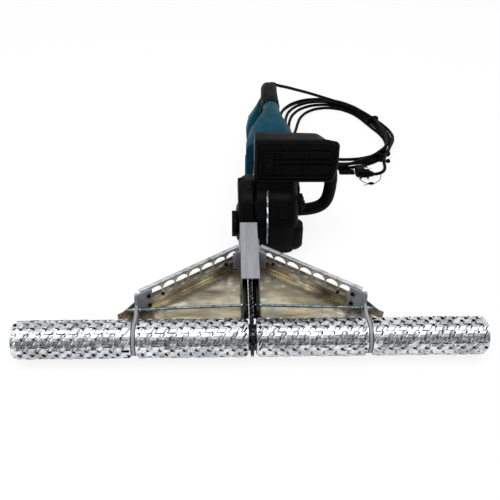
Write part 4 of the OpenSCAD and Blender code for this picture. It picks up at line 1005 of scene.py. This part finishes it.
studioSet = {
    "floorGlow": 0.86,  # how much of the floor is plain white as it is seen itself
    "floorMirrored": 0.4,  # and as it is mirrored in the model
    "overhead": ((0, -0.55, 1.9), (0, -0.3, 0), (2.4, 1.4), 21),
    "left": ((-1.5, -0.9, 1.0), (0, 0, 0.1), (0.7, 0.9), 3.5),
    # brightness from the horizon up, in front and behind
    "front": [(0.0, 0.04), (0.14, 0.06), (0.2, 0.3), (0.62, 0.4), (0.72, 0.8), (1.0, 0.75)],
    "back": [(0.0, 0.9), (0.3, 1.0), (0.85, 1.0), (1.0, 0.8)],
}


def makeFloor():
    mesh = bpy.data.meshes.new("floor")
    work = bmesh.new()
    bmesh.ops.create_grid(work, x_segments=1, y_segments=1, size=6)
    work.to_mesh(mesh)
    work.free()
    floor = link(bpy.data.objects.new("floor", mesh))
    floor.location.z = -0.0005
    material, tree, surface, where = newMaterial("white studio floor")
    surface.inputs["Base Color"].default_value = hexColour("#ffffff")
    surface.inputs["Roughness"].default_value = 0.9
    glow = addNode(tree, "ShaderNodeEmission", {"Color": (1, 1, 1, 1), "Strength": 1.0})
    light = addNode(tree, "ShaderNodeLightPath")
    mirrored = addNode(tree, "ShaderNodeMath", {0: light.outputs["Is Glossy Ray"],
                                                1: studioSet["floorMirrored"]}, operation="MULTIPLY")
    share = addNode(tree, "ShaderNodeMath", {0: light.outputs["Is Camera Ray"], 1: studioSet["floorGlow"],
                                             2: mirrored.outputs["Value"]}, operation="MULTIPLY_ADD")
    mix = addNode(tree, "ShaderNodeMixShader", {"Fac": share.outputs["Value"], 1: surface.outputs["BSDF"],
                                                2: glow.outputs["Emission"]})
    tree.links.new(mix.outputs["Shader"], tree.nodes["Material Output"].inputs["Surface"])
    mesh.materials.append(material)


def makeLight(name, spot, target, size, power):
    data = bpy.data.lights.new(name, "AREA")
    data.shape = "RECTANGLE"
    data.size, data.size_y = size
    data.energy = power
    lamp = link(bpy.data.objects.new(name, data))
    lamp.location = spot
    lamp.rotation_euler = (Vector(target) - Vector(spot)).to_track_quat("-Z", "Y").to_euler()


def makeWorld():
    # white where it is seen itself; for light and reflections it is a studio, bright above and behind
    # and dark in front near the horizon
    world = bpy.data.worlds.new("studio")
    bpy.context.scene.world = world
    world.use_nodes = True
    tree = world.node_tree
    tree.nodes.clear()
    light = addNode(tree, "ShaderNodeLightPath")
    seen = addNode(tree, "ShaderNodeMath", {0: light.outputs["Is Camera Ray"],
                                            1: light.outputs["Is Transmission Ray"]}, operation="MAXIMUM")
    way = addNode(tree, "ShaderNodeTexCoord").outputs["Generated"]
    apart = addNode(tree, "ShaderNodeSeparateXYZ", {"Vector": way})
    front = addNode(tree, "ShaderNodeValToRGB", {"Fac": apart.outputs["Z"]}, studioSet["front"])
    back = addNode(tree, "ShaderNodeValToRGB", {"Fac": apart.outputs["Z"]}, studioSet["back"])
    behind = addNode(tree, "ShaderNodeMapRange", {"Value": apart.outputs["Y"], "From Min": -0.05,
                                                  "From Max": 0.3})
    sky = addNode(tree, "ShaderNodeMix", {"Factor": behind.outputs["Result"]}, data_type="RGBA")
    tree.links.new(front.outputs["Color"], sky.inputs["A"])
    tree.links.new(back.outputs["Color"], sky.inputs["B"])
    shade = addNode(tree, "ShaderNodeMix", {"Factor": seen.outputs["Value"]}, data_type="RGBA")
    tree.links.new(sky.outputs["Result"], shade.inputs["A"])
    shade.inputs["B"].default_value = (1, 1, 1, 1)
    background = addNode(tree, "ShaderNodeBackground", {"Color": shade.outputs["Result"], "Strength": 1.0})
    output = addNode(tree, "ShaderNodeOutputWorld")
    tree.links.new(background.outputs["Background"], output.inputs["Surface"])


makeFloor()
makeWorld()
makeLight("overheadSoftbox", *studioSet["overhead"])
makeLight("leftFill", *studioSet["left"])
bpy.context.scene.view_settings.view_transform = "Standard"

bpy.context.view_layer.update()
